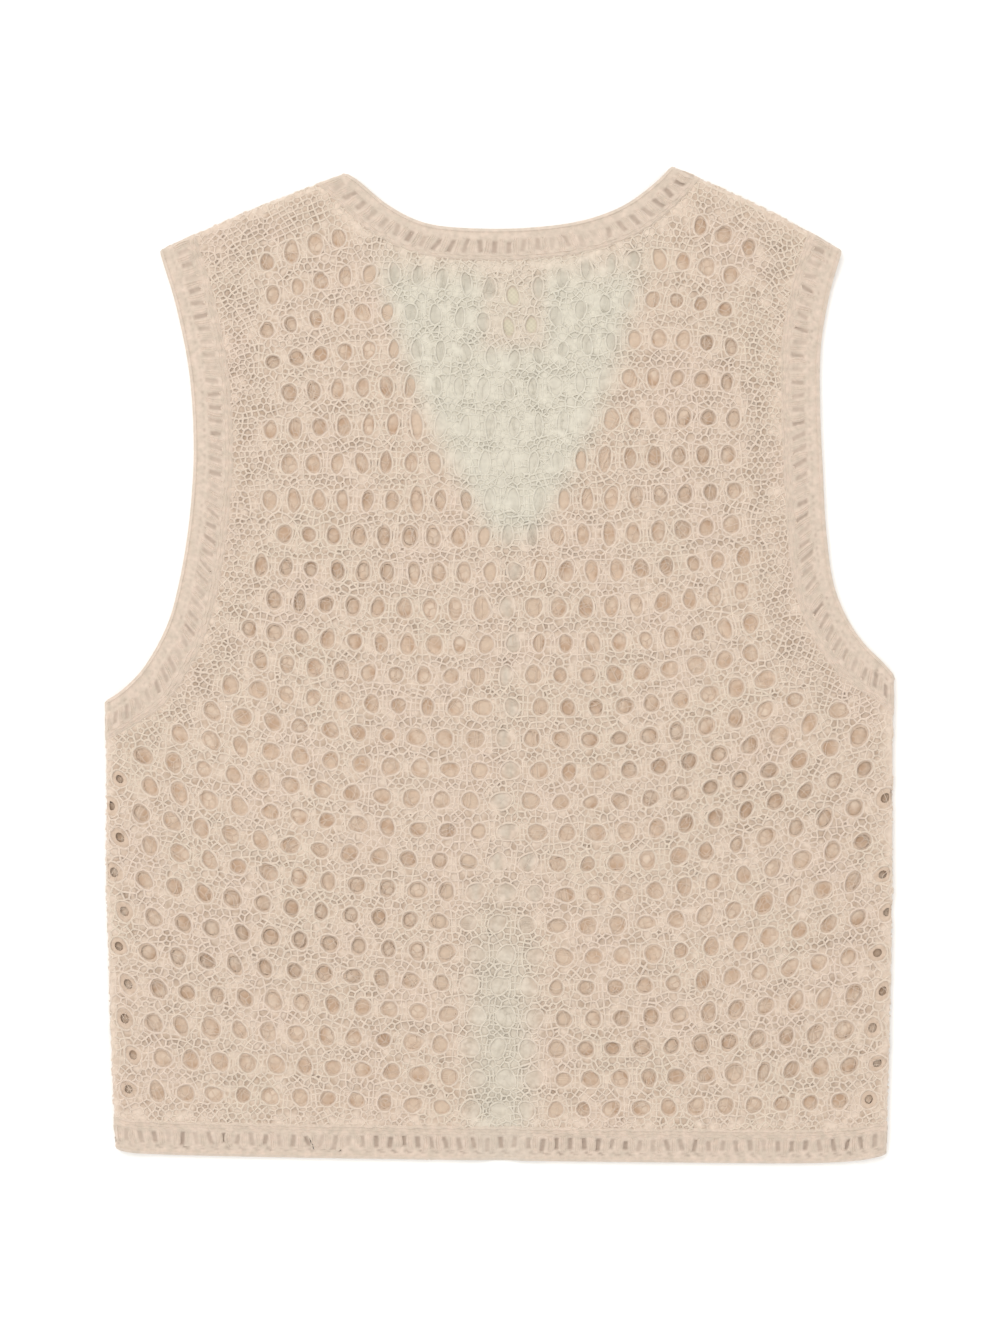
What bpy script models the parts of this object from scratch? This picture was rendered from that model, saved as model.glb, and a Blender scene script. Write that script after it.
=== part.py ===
"""Sleeveless openwork knitted top with an open front, laid flat with its back up.

The two fronts lie face down on the ground and the back lies over them. The cloth turns
over softly at the side seams and at the shoulder seams. Crocheted bands run round the
armholes, round the neck and down both front edges, and along the hem. Metres, +Z up,
+Y towards the neck, the origin at the centre of the garment on the ground.
"""

import math

import bmesh
import bpy
import numpy as np

MM = 0.001

# Cloth and seams
WALL = 2.2 * MM  # thickness of the knitted cloth
HALF_WALL = WALL / 2
LAYER_GAP = 0.3 * MM  # between the back and the fronts
SEAM_GAP = 0.5 * MM  # between a band and its panel
FOLD_SEAM_INSET = 0.7 * MM  # from a fold's seam line to the edge of each panel
FOLD_RADIUS = 2.2 * MM  # middle of the cloth, where it turns over at a seam
FOLD_ARC = FOLD_RADIUS * math.pi / 2
FOLD_EASE = FOLD_ARC - FOLD_RADIUS  # cloth taken up by the turn, beyond the outline
FOLD_STEPS = 3

# Heights of the middle of the cloth
FRONT_HEIGHT = HALF_WALL
BACK_HEIGHT = FRONT_HEIGHT + WALL + LAYER_GAP
FOLD_TOP = FRONT_HEIGHT + 2 * FOLD_RADIUS
FOLD_MIDDLE = FRONT_HEIGHT + FOLD_RADIUS
FOLD_FADE = 13 * MM  # how far the back takes to settle beside a fold
NECK_SAG = 1.1 * MM  # where the neck opening of the fronts lies under the back
FRONT_GAP_SAG = 2.1 * MM  # where the fronts part above the hem
SAG_START = 9 * MM
SAG_RUN = 14 * MM
SAG_CHANGE_Y = 0.0  # above this the neck opening, below it the gap above the hem

# Crocheted bands
BAND_WIDTH = 18.0 * MM
HEM_POSTS = 57
ARMHOLE_POSTS = 37
NECK_POSTS = 28
SLIT_HALF_SHARE = 0.24  # of one post's pitch

# Section of a band: (share of the width from the free edge, height over the middle of
# the cloth in mm on a band that shows, the same on a band that lies face down, and
# whether a slit between two posts is pressed in there)
BAND_SECTION = (
    (0.03, -1.1, -1.1, False),
    (0.00, 0.3, 0.3, False),
    (0.13, 1.8, 1.1, False),
    (0.27, 1.2, 1.1, True),
    (0.70, 1.2, 1.1, True),
    (0.88, 1.7, 1.1, False),
    (1.00, -1.1, -1.1, False),
)
SLIT_DEPTH = 1.3 * MM

# Outline of the side seams: (y, left x, right x) in mm, from the hem up
SIDE_SECTIONS = (
    (-270.0, -210.2, 212.4),
    (-255.0, -212.0, 213.3),
    (-215.0, -214.0, 214.7),
    (-156.0, -215.6, 215.9),
    (-125.0, -216.8, 216.6),
    (-20.0, -216.8, 216.8),
)
LEFT_UNDERARM_Y = -20.0 * MM
RIGHT_UNDERARM_Y = -6.5 * MM
LEFT_HEM_Y = -265.3 * MM
RIGHT_HEM_Y = -268.2 * MM

# Hem edge between the side seams: (x, y) in mm
HEM_SECTIONS = (
    (-192.0, -268.0),
    (-120.0, -269.9),
    (0.0, -271.7),
    (100.0, -272.8),
    (165.0, -273.2),
    (195.0, -271.8),
)

# Armhole edge between the underarm and the shoulder tip: (left x, left y, right x, right y)
ARMHOLE_SECTIONS = (
    (-208.0, -14.5, 209.0, 2.6),
    (-197.0, -3.6, 199.5, 12.6),
    (-187.2, 12.0, 190.0, 27.5),
    (-179.6, 30.0, 182.9, 46.5),
    (-173.2, 59.0, 179.2, 75.0),
    (-169.2, 90.0, 177.4, 108.0),
    (-167.8, 122.0, 176.0, 140.0),
    (-170.2, 160.0, 176.3, 174.0),
    (-177.2, 196.0, 181.2, 204.0),
)

# Shoulder seams: side, tip x and y, neck point x and y, and how far the seam bows out, in mm
SHOULDER_SECTIONS = (
    ("left", -186.6, 228.0, -85.3, 270.2, 2.0),
    ("right", 188.0, 228.0, 94.8, 274.1, 2.6),
)

# Neck edge of the back between the shoulder seams: (x, y) in mm
NECK_SECTIONS = (
    (-76.8, 265.2),
    (-60.0, 252.0),
    (-40.0, 242.8),
    (-14.0, 240.0),
    (16.0, 240.4),
    (44.0, 244.0),
    (67.0, 252.0),
    (84.5, 264.0),
)

# Free edges of the fronts, from the shoulder seams down: (left x, right x, y) in mm
FRONT_EDGE_SECTIONS = (
    (-72.0, 83.0, 240.0),
    (-58.5, 70.5, 201.0),
    (-44.0, 57.5, 157.0),
    (-24.0, 40.5, 113.0),
    (-5.0, 20.0, 78.0),
    (4.2, 7.6, 40.0),
    (3.2, 5.4, -10.0),
    (1.4, 3.8, -55.0),
    (-7.0, 10.5, -98.0),
    (-20.5, 22.5, -140.0),
    (-23.0, 25.0, -190.0),
    (-22.8, 25.0, -240.0),
)

# Low swells of the back: centre x, y, half length, half width and height in mm, turn in degrees
BACK_SWELLS = (
    (-118.0, -150.0, 120.0, 30.0, 1.1, 12.0),
    (95.0, -205.0, 95.0, 24.0, 0.8, -7.0),
    (120.0, -60.0, 90.0, 26.0, 1.0, -22.0),
    (-95.0, 45.0, 80.0, 28.0, 0.9, 28.0),
    (115.0, 130.0, 70.0, 22.0, 0.7, 74.0),
    (-125.0, 175.0, 45.0, 20.0, 0.6, -64.0),
)

# Grid of the panels
SIDE_ROWS = 10
ARMHOLE_ROWS = 12
SHOULDER_COLUMNS = 5
NECK_COLUMNS = 14
BACK_COLUMNS = 2 * SHOULDER_COLUMNS + NECK_COLUMNS
FRONT_COLUMNS = 6
CURVE_STEPS = 40  # between two points of a table
CURVE_SAMPLES = 400
END_BLEND = 25 * MM  # how far a band's inner edge takes to meet its end
NORMAL_STEP = 0.1 * MM
FOLD_END_Y = 12 * MM  # above the underarms no cloth turns over at the sides
FAR = 1.0

# Neck label, hanging inside the back under its neck band
LABEL_WIDTH = 34.0 * MM
LABEL_HEIGHT = 46.0 * MM
LABEL_THICKNESS = 0.8 * MM
LABEL_CENTRE = (8.0 * MM, 197.0 * MM)
LABEL_BASE = 0.3 * MM
LABEL_ROUNDING = 0.2 * MM

YARN_COLOUR = (0.78, 0.65, 0.52, 1.0)
BAND_COLOUR = (0.76, 0.63, 0.51, 1.0)
LABEL_COLOUR = (0.80, 0.74, 0.58, 1.0)


def smooth_step(value):
    """0 below 0, 1 above 1, and a soft rise between."""
    clipped = np.clip(value, 0.0, 1.0)
    return clipped * clipped * (3.0 - 2.0 * clipped)


def shares_along(curve):
    """Share of the curve's length at each of its points."""
    steps = np.linalg.norm(np.diff(curve, axis=0), axis=1)
    run = np.concatenate([[0.0], np.cumsum(steps)])
    return run / run[-1]


def length_of(curve):
    return float(np.linalg.norm(np.diff(curve, axis=0), axis=1).sum())


def resampled(curve, shares):
    """Points at these shares of the curve's length."""
    along = shares_along(curve)
    return np.stack([np.interp(shares, along, curve[:, k]) for k in (0, 1)], 1)


def smooth_curve(points):
    """A dense smooth curve through the points, evenly spaced along its length."""
    points = np.asarray(points, float)
    before = 2 * points[0] - points[1]
    after = 2 * points[-1] - points[-2]
    padded = np.vstack([before, points, after])
    t = np.linspace(0.0, 1.0, CURVE_STEPS, endpoint=False)[:, None]
    pieces = []
    for a, b, c, d in zip(padded, padded[1:], padded[2:], padded[3:]):
        bend = 2 * a - 5 * b + 4 * c - d
        twist = 3 * (b - c) + d - a
        pieces.append(b + 0.5 * t * (c - a + t * (bend + t * twist)))
    dense = np.vstack(pieces + [points[-1:]])
    return resampled(dense, np.linspace(0.0, 1.0, CURVE_SAMPLES))


def side_x(side, y):
    """Outline of a side seam at a height."""
    column = 1 if side == "left" else 2
    heights = [row[0] * MM for row in SIDE_SECTIONS]
    return np.interp(y, heights, [row[column] * MM for row in SIDE_SECTIONS])


def shoulder_line(side):
    """Tip of a shoulder seam, its direction to the neck, its inward normal, its length and bow."""
    row = SHOULDER_SECTIONS[0 if side == "left" else 1]
    tip = np.array(row[1:3]) * MM
    neck = np.array(row[3:5]) * MM
    length = float(np.linalg.norm(neck - tip))
    along = (neck - tip) / length
    inward = np.array([abs(along[1]) * (1 if side == "left" else -1), -abs(along[0])])
    return tip, along, inward, length, row[5] * MM


def side_point(side, y, inset=0.0):
    """A point of the flat cloth on a side seam."""
    outward_sign = -1.0 if side == "left" else 1.0
    x = side_x(side, y) + outward_sign * (FOLD_EASE - HALF_WALL - inset)
    return np.array([x, y])


def shoulder_point(side, place, inset=0.0):
    """A point of the flat cloth on a shoulder seam, at a length from the shoulder's tip."""
    tip, along, inward, length, bow = shoulder_line(side)
    share = np.clip(place / length, 0.0, 1.0)
    out = FOLD_EASE - HALF_WALL - inset + 4 * bow * share * (1 - share)
    return tip + along * place - inward * out


def fold_distances(points):
    """How far each point lies inside the nearest fold's middle line, and the way inward."""
    x = points[:, 0]
    y = points[:, 1]
    distances = []
    ways = []
    for side, sign in (("left", 1.0), ("right", -1.0)):
        past_underarm = np.maximum(0.0, y - FOLD_END_Y)
        distances.append(sign * (x - side_x(side, y)) - HALF_WALL + past_underarm)
        ways.append(np.tile([sign, 0.0], (len(points), 1)))
        tip, along, inward, length, bow = shoulder_line(side)
        share = np.clip(((points - tip) @ along) / length, 0.0, 1.0)
        distance = (points - tip) @ inward - HALF_WALL + 4 * bow * share * (1 - share)
        distances.append(np.where(sign * x < 0, distance, FAR))
        ways.append(np.tile(inward, (len(points), 1)))
    distances = np.stack(distances)
    nearest = np.argmin(distances, axis=0)
    pick = np.arange(len(points))
    return distances[nearest, pick], np.stack(ways)[nearest, pick]


def hem_curve():
    rows = np.array(HEM_SECTIONS) * MM
    left = side_point("left", LEFT_HEM_Y)
    right = side_point("right", RIGHT_HEM_Y)
    return smooth_curve(np.vstack([left, rows, right]))


def front_edge_curve(side):
    """Free edge of a front, from the shoulder seam to the hem."""
    column = 0 if side == "left" else 1
    rows = np.array([(row[column], row[2]) for row in FRONT_EDGE_SECTIONS]) * MM
    start = shoulder_point(side, shoulder_line(side)[3])
    end_x = rows[-1, 0]
    end = np.array([end_x, np.interp(end_x, HEM_EDGE[:, 0], HEM_EDGE[:, 1])])
    return smooth_curve(np.vstack([start, rows, end]))


def neck_curve():
    rows = np.array(NECK_SECTIONS) * MM
    left = shoulder_point("left", shoulder_line("left")[3])
    right = shoulder_point("right", shoulder_line("right")[3])
    return smooth_curve(np.vstack([left, rows, right]))


def armhole_curve(side):
    """Free edge of an armhole, from the underarm to the shoulder tip."""
    column = 0 if side == "left" else 2
    rows = np.array([row[column : column + 2] for row in ARMHOLE_SECTIONS]) * MM
    underarm = LEFT_UNDERARM_Y if side == "left" else RIGHT_UNDERARM_Y
    return smooth_curve(np.vstack([side_point(side, underarm), rows, shoulder_point(side, 0.0)]))


HEM_EDGE = hem_curve()
FRONT_EDGES = {side: front_edge_curve(side) for side in ("left", "right")}


def opening_depth(x, y):
    """How far inside the fronts' opening a point lies, below 0 over a front."""
    left = FRONT_EDGES["left"][::-1]
    right = FRONT_EDGES["right"][::-1]
    from_left = x - np.interp(y, left[:, 1], left[:, 0])
    from_right = np.interp(y, right[:, 1], right[:, 0]) - x
    return np.minimum(from_left, from_right)


def swell_height(x, y):
    total = np.zeros_like(x)
    for centre_x, centre_y, half_length, half_width, height, turn in BACK_SWELLS:
        angle = math.radians(turn)
        dx = x - centre_x * MM
        dy = y - centre_y * MM
        along = (dx * math.cos(angle) + dy * math.sin(angle)) / (half_length * MM)
        across = (dy * math.cos(angle) - dx * math.sin(angle)) / (half_width * MM)
        total += height * MM * np.exp(-(along**2) - across**2)
    return total


def back_height(x, y, distance):
    """Height of the middle of the back's cloth."""
    from_fold = np.maximum(0.0, distance + FOLD_EASE - FOLD_ARC)
    near_fold = np.exp(-((from_fold / FOLD_FADE) ** 2))
    depth = opening_depth(x, y)
    sag = smooth_step((depth - SAG_START) / SAG_RUN)
    sag = sag * np.where(y > SAG_CHANGE_Y, NECK_SAG, FRONT_GAP_SAG)
    swell = swell_height(x, y) * (1.0 - smooth_step(depth / SAG_RUN))
    settled = BACK_HEIGHT - sag + swell
    return settled + (FOLD_TOP - settled) * near_fold


def lay(layer, points):
    """Places points of the flat cloth on the laid garment, in the middle of the wall."""
    distance, inward = fold_distances(points)
    from_seam = distance + FOLD_EASE
    turn = np.minimum(from_seam / FOLD_RADIUS, math.pi / 2)
    in_fold = from_seam < FOLD_ARC
    shift = np.where(in_fold, FOLD_RADIUS * (1.0 - np.cos(turn)) - distance, 0.0)
    plan = points + inward * shift[:, None]
    rise = FOLD_RADIUS * np.sin(turn)
    if layer == "back":
        beyond = back_height(points[:, 0], points[:, 1], distance)
        height = np.where(in_fold, FOLD_MIDDLE + rise, beyond)
    else:
        height = np.where(in_fold, FOLD_MIDDLE - rise, FRONT_HEIGHT)
    return np.column_stack([plan, height])


def outward(layer, points):
    """Direction out of the garment, square to its cloth."""
    dx = np.array([NORMAL_STEP, 0.0])
    dy = np.array([0.0, NORMAL_STEP])
    along_x = lay(layer, points + dx) - lay(layer, points - dx)
    along_y = lay(layer, points + dy) - lay(layer, points - dy)
    normal = np.cross(along_x, along_y)
    normal /= np.linalg.norm(normal, axis=1)[:, None]
    return normal if layer == "back" else -normal


def inner_line(free, start, end, side_sign):
    """A band's inner edge: its free edge moved by the band's width, with its ends drawn to two points."""
    step = np.gradient(free, axis=0)
    step /= np.linalg.norm(step, axis=1)[:, None]
    moved = free + side_sign * BAND_WIDTH * np.column_stack([-step[:, 1], step[:, 0]])
    run = shares_along(free) * length_of(free)
    near_start = (1.0 - smooth_step(run / END_BLEND))[:, None]
    near_end = (1.0 - smooth_step((run[-1] - run) / END_BLEND))[:, None]
    return moved + (start - moved[0]) * near_start + (end - moved[-1]) * near_end


def even_shares(length, count, fold_start, fold_end):
    """Even steps along an edge, with the fine steps of a fold at the ends that have one."""
    fine = FOLD_ARC * np.arange(FOLD_STEPS + 1) / FOLD_STEPS / length
    first = fine[-1] if fold_start else 0.0
    last = 1.0 - fine[-1] if fold_end else 1.0
    shares = np.linspace(first, last, count + 1)
    if fold_start:
        shares = np.concatenate([fine[:-1], shares])
    if fold_end:
        shares = np.concatenate([shares, 1.0 - fine[-2::-1]])
    return shares


def post_shares(length, posts):
    """Steps along a band that shows, and how much of a slit each one holds."""
    fine = FOLD_ARC * np.arange(FOLD_STEPS + 1) / FOLD_STEPS / length
    pitch = (1.0 - 2 * fine[-1]) / posts
    middles = fine[-1] + (np.arange(posts) + 0.5) * pitch
    steps = middles[:, None] + pitch * np.array([-SLIT_HALF_SHARE, 0.0, SLIT_HALF_SHARE])
    slits = np.tile([0.0, 1.0, 0.0], posts)
    plain = np.zeros(len(fine))
    shares = np.concatenate([fine, steps.ravel(), 1.0 - fine[::-1]])
    return shares, np.concatenate([plain, slits, plain])


class Strip:
    """One layer of a band: its free edge, and its inner edge where a panel joins it."""

    def __init__(self, layer, free, inner, joints, fold_start, fold_end):
        self.layer = layer
        self.free = free
        self.joints = joints  # shares of the length where the panel has its points
        self.inner = resampled(inner, joints)
        self.length = length_of(free)
        self.fold_start = fold_start
        self.fold_end = fold_end

    def stations(self, shares, slits=None):
        """Sections of the band at these shares of its length, as rows of 3D points."""
        free = resampled(self.free, shares)
        inner = np.stack([np.interp(shares, self.joints, self.inner[:, k]) for k in (0, 1)], 1)
        relief = np.ones(len(shares))
        if self.fold_start:
            relief *= smooth_step(shares * self.length / (2 * FOLD_ARC))
        if self.fold_end:
            relief *= smooth_step((1.0 - shares) * self.length / (2 * FOLD_ARC))
        if self.layer == "front":
            relief *= 0.0
        rows = []
        for share, shown, plain, pressed in BAND_SECTION:
            flat = free + share * (inner - free)
            height = (plain + (shown - plain) * relief) * MM
            if pressed and slits is not None:
                height = height - SLIT_DEPTH * slits * relief
            rows.append(lay(self.layer, flat) + outward(self.layer, flat) * height[:, None])
        return np.stack(rows, 1)

    def plain_stations(self):
        """Sections at the panel's points, with fine steps at the folds."""
        fine = even_shares(self.length, 1, self.fold_start, self.fold_end)
        shares = np.unique(np.round(np.concatenate([self.joints, fine]), 6))
        return self.stations(shares)

    def post_stations(self, posts):
        return self.stations(*post_shares(self.length, posts))

    def panel_edge(self):
        """The joining panel's edge, one seam gap past the band."""
        across = self.inner - resampled(self.free, self.joints)
        across /= np.linalg.norm(across, axis=1)[:, None]
        return self.inner + SEAM_GAP * across


def armhole_strip(layer, side):
    free = armhole_curve(side)
    underarm = LEFT_UNDERARM_Y if side == "left" else RIGHT_UNDERARM_Y
    start = side_point(side, underarm - BAND_WIDTH)
    end = shoulder_point(side, BAND_WIDTH)
    inner = inner_line(free, start, end, -1.0 if side == "left" else 1.0)
    joints = even_shares(length_of(free), ARMHOLE_ROWS, False, True)
    return Strip(layer, free, inner, joints, True, True)


def neck_strip():
    """The neck band of the back, from the left shoulder seam to the right."""
    free = neck_curve()
    start = shoulder_point("left", shoulder_line("left")[3] - BAND_WIDTH)
    end = shoulder_point("right", shoulder_line("right")[3] - BAND_WIDTH)
    inner = inner_line(free, start, end, -1.0)
    return Strip("back", free, inner, np.linspace(0.0, 1.0, NECK_COLUMNS + 1), True, True)


def hem_back_strip():
    free = HEM_EDGE
    start = side_point("left", LEFT_HEM_Y + BAND_WIDTH)
    end = side_point("right", RIGHT_HEM_Y + BAND_WIDTH)
    inner = inner_line(free, start, end, 1.0)
    joints = even_shares(length_of(free), BACK_COLUMNS, True, True)
    return Strip("back", free, inner, joints, True, True)


def hem_front_strip(side):
    """A front's hem band, from the side seam to the front edge's band."""
    back = hem_back_strip()
    free = back.free if side == "left" else back.free[::-1]
    sign = -1.0 if side == "left" else 1.0
    stop_x = FRONT_EDGES[side][-1, 0] + sign * (BAND_WIDTH + SEAM_GAP)
    free = free[sign * (free[:, 0] - stop_x) > 0]
    stop_y = np.interp(stop_x, HEM_EDGE[:, 0], HEM_EDGE[:, 1])
    free = np.vstack([free, [stop_x, stop_y]])
    corner_y = LEFT_HEM_Y if side == "left" else RIGHT_HEM_Y
    start = side_point(side, corner_y + BAND_WIDTH)
    end = np.array([stop_x, stop_y + BAND_WIDTH])
    inner = inner_line(free, start, end, -sign)
    joints = even_shares(length_of(free), FRONT_COLUMNS, True, False)
    return Strip("front", free, inner, joints, True, False)


def front_edge_strip(side):
    """The band down a front's free edge, from the shoulder seam to the hem."""
    free = FRONT_EDGES[side]
    sign = -1.0 if side == "left" else 1.0
    start = shoulder_point(side, shoulder_line(side)[3] - BAND_WIDTH)
    end = free[-1] + np.array([sign * BAND_WIDTH, 0.0])
    inner = inner_line(free, start, end, sign)
    length = length_of(free)
    corner = 1.0 - (BAND_WIDTH + SEAM_GAP) / length
    rows = even_shares(length, SIDE_ROWS + ARMHOLE_ROWS, True, False) * corner
    return Strip("front", free, inner, np.append(rows, 1.0), True, False)


def lofted(name, stations, closed, colour):
    """A solid through a row of sections, closed in a ring or capped at its ends."""
    mesh = bpy.data.meshes.new(name)
    shape = bmesh.new()
    rings = [[shape.verts.new(point) for point in station] for station in stations]
    count = len(rings[0])
    pairs = list(zip(rings, rings[1:]))
    if closed:
        pairs.append((rings[-1], rings[0]))
    else:
        shape.faces.new(rings[0])
        shape.faces.new(rings[-1])
    for here, after in pairs:
        for k in range(count):
            following = (k + 1) % count
            shape.faces.new((here[k], here[following], after[following], after[k]))
    bmesh.ops.recalc_face_normals(shape, faces=shape.faces)
    shape.to_mesh(mesh)
    shape.free()
    return placed(name, mesh, colour)


def stretched(left, right, bottom, top, u, v, i, j):
    """A point of the smooth surface between four edges."""
    across = (1 - u) * left[j] + u * right[j]
    up = (1 - v) * bottom[i] + v * top[i]
    low = (1 - u) * bottom[0] + u * bottom[-1]
    high = (1 - u) * top[0] + u * top[-1]
    return across + up - (1 - v) * low - v * high


def panel(name, layer, left, right, bottom, top):
    """A knitted panel: a grid stretched between its four edges and laid, then given its wall."""
    columns = len(bottom) - 1
    rows = len(left) - 1
    across = shares_along(bottom)
    up = shares_along(left)
    mesh = bpy.data.meshes.new(name)
    shape = bmesh.new()
    bmesh.ops.create_grid(shape, x_segments=columns, y_segments=rows, size=1.0)
    flat = []
    for vert in shape.verts:
        i = round((vert.co.x + 1.0) / 2.0 * columns)
        j = round((vert.co.y + 1.0) / 2.0 * rows)
        flat.append(stretched(left, right, bottom, top, across[i], up[j], i, j))
    for vert, point in zip(shape.verts, lay(layer, np.array(flat))):
        vert.co = point
    bmesh.ops.recalc_face_normals(shape, faces=shape.faces)
    shape.to_mesh(mesh)
    shape.free()
    made = placed(name, mesh, YARN_COLOUR)
    wall = made.modifiers.new("wall", "SOLIDIFY")
    wall.thickness = WALL
    wall.offset = 0.0
    return made


def placed(name, mesh, colour):
    """Puts a mesh in the garment's collection, with its own material."""
    material = bpy.data.materials.new(name + "_yarn")
    material.use_nodes = True
    shader = material.node_tree.nodes["Principled BSDF"]
    shader.inputs["Base Color"].default_value = colour
    shader.inputs["Roughness"].default_value = 0.9
    shader.inputs["Metallic"].default_value = 0.0
    mesh.materials.append(material)
    mesh.shade_smooth()
    mesh.set_sharp_from_angle(angle=math.radians(50))
    made = bpy.data.objects.new(name, mesh)
    GARMENT.objects.link(made)
    return made


def outer_edge(side, armhole):
    """A panel's edge up the side seam and round the armhole, from the hem to the shoulder."""
    hem = (LEFT_HEM_Y if side == "left" else RIGHT_HEM_Y) + BAND_WIDTH + SEAM_GAP
    underarm = LEFT_UNDERARM_Y if side == "left" else RIGHT_UNDERARM_Y
    heights = np.linspace(hem, underarm - BAND_WIDTH - SEAM_GAP, SIDE_ROWS + 1)
    seam = [side_point(side, y, FOLD_SEAM_INSET) for y in heights]
    tip = shoulder_point(side, BAND_WIDTH + SEAM_GAP, FOLD_SEAM_INSET)
    return np.vstack([seam, armhole.panel_edge()[1:-1], tip])


def shoulder_edge(side, columns):
    """A panel's edge along the shoulder seam, from the armhole to the neck."""
    first = BAND_WIDTH + SEAM_GAP
    length = shoulder_line(side)[3] - 2 * first
    places = first + length * even_shares(length, columns, True, False)
    return np.array([shoulder_point(side, place, FOLD_SEAM_INSET) for place in places])


def back_panel(hem, neck, armholes):
    left = outer_edge("left", armholes["left"])
    right = outer_edge("right", armholes["right"])
    bottom = hem.panel_edge()
    bottom[0] = left[0]
    bottom[-1] = right[0]
    top = np.vstack(
        [
            shoulder_edge("left", SHOULDER_COLUMNS),
            neck.panel_edge()[1:-1],
            shoulder_edge("right", SHOULDER_COLUMNS)[::-1],
        ]
    )
    return panel("back_panel", "back", left, right, bottom, top)


def front_panel(side, hem, edge, armhole):
    seam = outer_edge(side, armhole)
    bottom = hem.panel_edge()
    inner = edge.panel_edge()[-2::-1]
    top = shoulder_edge(side, FRONT_COLUMNS)
    bottom[0] = seam[0]
    inner[0] = bottom[-1]
    inner[-1] = top[-1]
    name = "front_" + side + "_panel"
    if side == "left":
        return panel(name, "front", seam, inner, bottom, top)
    return panel(name, "front", inner, seam, bottom[::-1], top[::-1])


def armhole_band(side, back, front):
    """The edging round an armhole: up the back, over the shoulder and down the front."""
    up = back.post_stations(ARMHOLE_POSTS)
    down = front.plain_stations()[::-1]
    return lofted("armhole_" + side + "_band", np.vstack([up, down[1:-1]]), True, BAND_COLOUR)


def hem_band(back, fronts):
    """The edging of the hem, from one front edge round the back to the other."""
    first = fronts["left"].plain_stations()[::-1]
    middle = back.post_stations(HEM_POSTS)
    last = fronts["right"].plain_stations()
    return lofted("hem_band", np.vstack([first[:-1], middle, last[1:]]), False, BAND_COLOUR)


def neck_band(back, edges):
    """The edging of the front edges and the neck, from hem to hem."""
    first = edges["left"].plain_stations()[::-1]
    middle = back.post_stations(NECK_POSTS)
    last = edges["right"].plain_stations()
    return lofted("neck_band", np.vstack([first[:-1], middle, last[1:]]), False, BAND_COLOUR)


def neck_label():
    """A plain woven tab under the back, just below the neck band."""
    shape = bmesh.new()
    bmesh.ops.create_cube(shape, size=1.0)
    size = (LABEL_WIDTH, LABEL_HEIGHT, LABEL_THICKNESS)
    bmesh.ops.scale(shape, vec=size, verts=shape.verts)
    mesh = bpy.data.meshes.new("neck_label")
    shape.to_mesh(mesh)
    shape.free()
    made = placed("neck_label", mesh, LABEL_COLOUR)
    made.location = (*LABEL_CENTRE, LABEL_BASE + LABEL_THICKNESS / 2)
    rounding = made.modifiers.new("soft edges", "BEVEL")
    rounding.width = LABEL_ROUNDING
    rounding.segments = 2
    return made


def main():
    sides = ("left", "right")
    hem = hem_back_strip()
    neck = neck_strip()
    armholes = {side: armhole_strip("back", side) for side in sides}
    front_armholes = {side: armhole_strip("front", side) for side in sides}
    hems = {side: hem_front_strip(side) for side in sides}
    edges = {side: front_edge_strip(side) for side in sides}
    back_panel(hem, neck, armholes)
    for side in sides:
        front_panel(side, hems[side], edges[side], front_armholes[side])
        armhole_band(side, armholes[side], front_armholes[side])
    hem_band(hem, hems)
    neck_band(neck, edges)
    neck_label()


for old in list(bpy.data.objects):
    bpy.data.objects.remove(old, do_unlink=True)
GARMENT = bpy.data.collections.new("crochet_top")
bpy.context.scene.collection.children.link(GARMENT)
main()
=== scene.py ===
# %% [markdown]
# # A crochet top, laid flat with its back up
#
# The real thing is a light sleeveless top in a soft brushed yarn. Its back and its two
# fronts are knitted in an openwork stitch: rows of round eyelets with a fine net
# between them. Crocheted bands finish the neck, the armholes and the hem. It lies on
# its fronts, so the back shows, and the fronts show only through the holes.
#
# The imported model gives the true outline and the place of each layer. This script
# loads it as a fixed frame and dresses it in yarn. Every length is in metres.

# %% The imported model
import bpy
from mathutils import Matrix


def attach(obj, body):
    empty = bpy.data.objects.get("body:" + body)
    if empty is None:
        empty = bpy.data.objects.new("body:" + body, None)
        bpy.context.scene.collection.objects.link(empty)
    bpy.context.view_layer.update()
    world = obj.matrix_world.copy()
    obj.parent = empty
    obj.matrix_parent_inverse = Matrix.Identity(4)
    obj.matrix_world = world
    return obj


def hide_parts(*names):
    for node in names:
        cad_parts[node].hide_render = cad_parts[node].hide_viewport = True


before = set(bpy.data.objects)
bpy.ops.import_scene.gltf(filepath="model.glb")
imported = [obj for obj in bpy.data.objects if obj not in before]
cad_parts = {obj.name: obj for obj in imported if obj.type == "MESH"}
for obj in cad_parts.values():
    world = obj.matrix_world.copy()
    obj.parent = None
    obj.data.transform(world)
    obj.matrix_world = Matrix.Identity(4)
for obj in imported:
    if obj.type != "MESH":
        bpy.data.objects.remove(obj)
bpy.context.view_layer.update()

import math

import bmesh
import bpy
import numpy as np
from mathutils import Vector, geometry

MM = 0.001


def mm(*lengths):
    """Lengths given in mm, in metres."""
    return tuple(length * MM for length in lengths)


print("nodes of the frame:", ", ".join(sorted(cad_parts)))

# %% [markdown]
# ## The camera first
#
# The photo is taken from straight above. A perspective camera with a long lens, far
# enough away to see the whole frame, keeps the outline true. Half a millimetre and a
# bit of garment falls on each pixel of the photo.

# %% Camera
PHOTO_SIZE = (1000, 1334)  # pixels
PHOTO_SCALE = 0.55 * MM  # of garment for one pixel of the photo
PHOTO_ORIGIN = (499.5, 665.5)  # the pixel of the photo where the garment's origin lies
LENS_MM = 85.0
SENSOR_MM = 36.0
VIEW_DEPTH = 20.0


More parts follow.
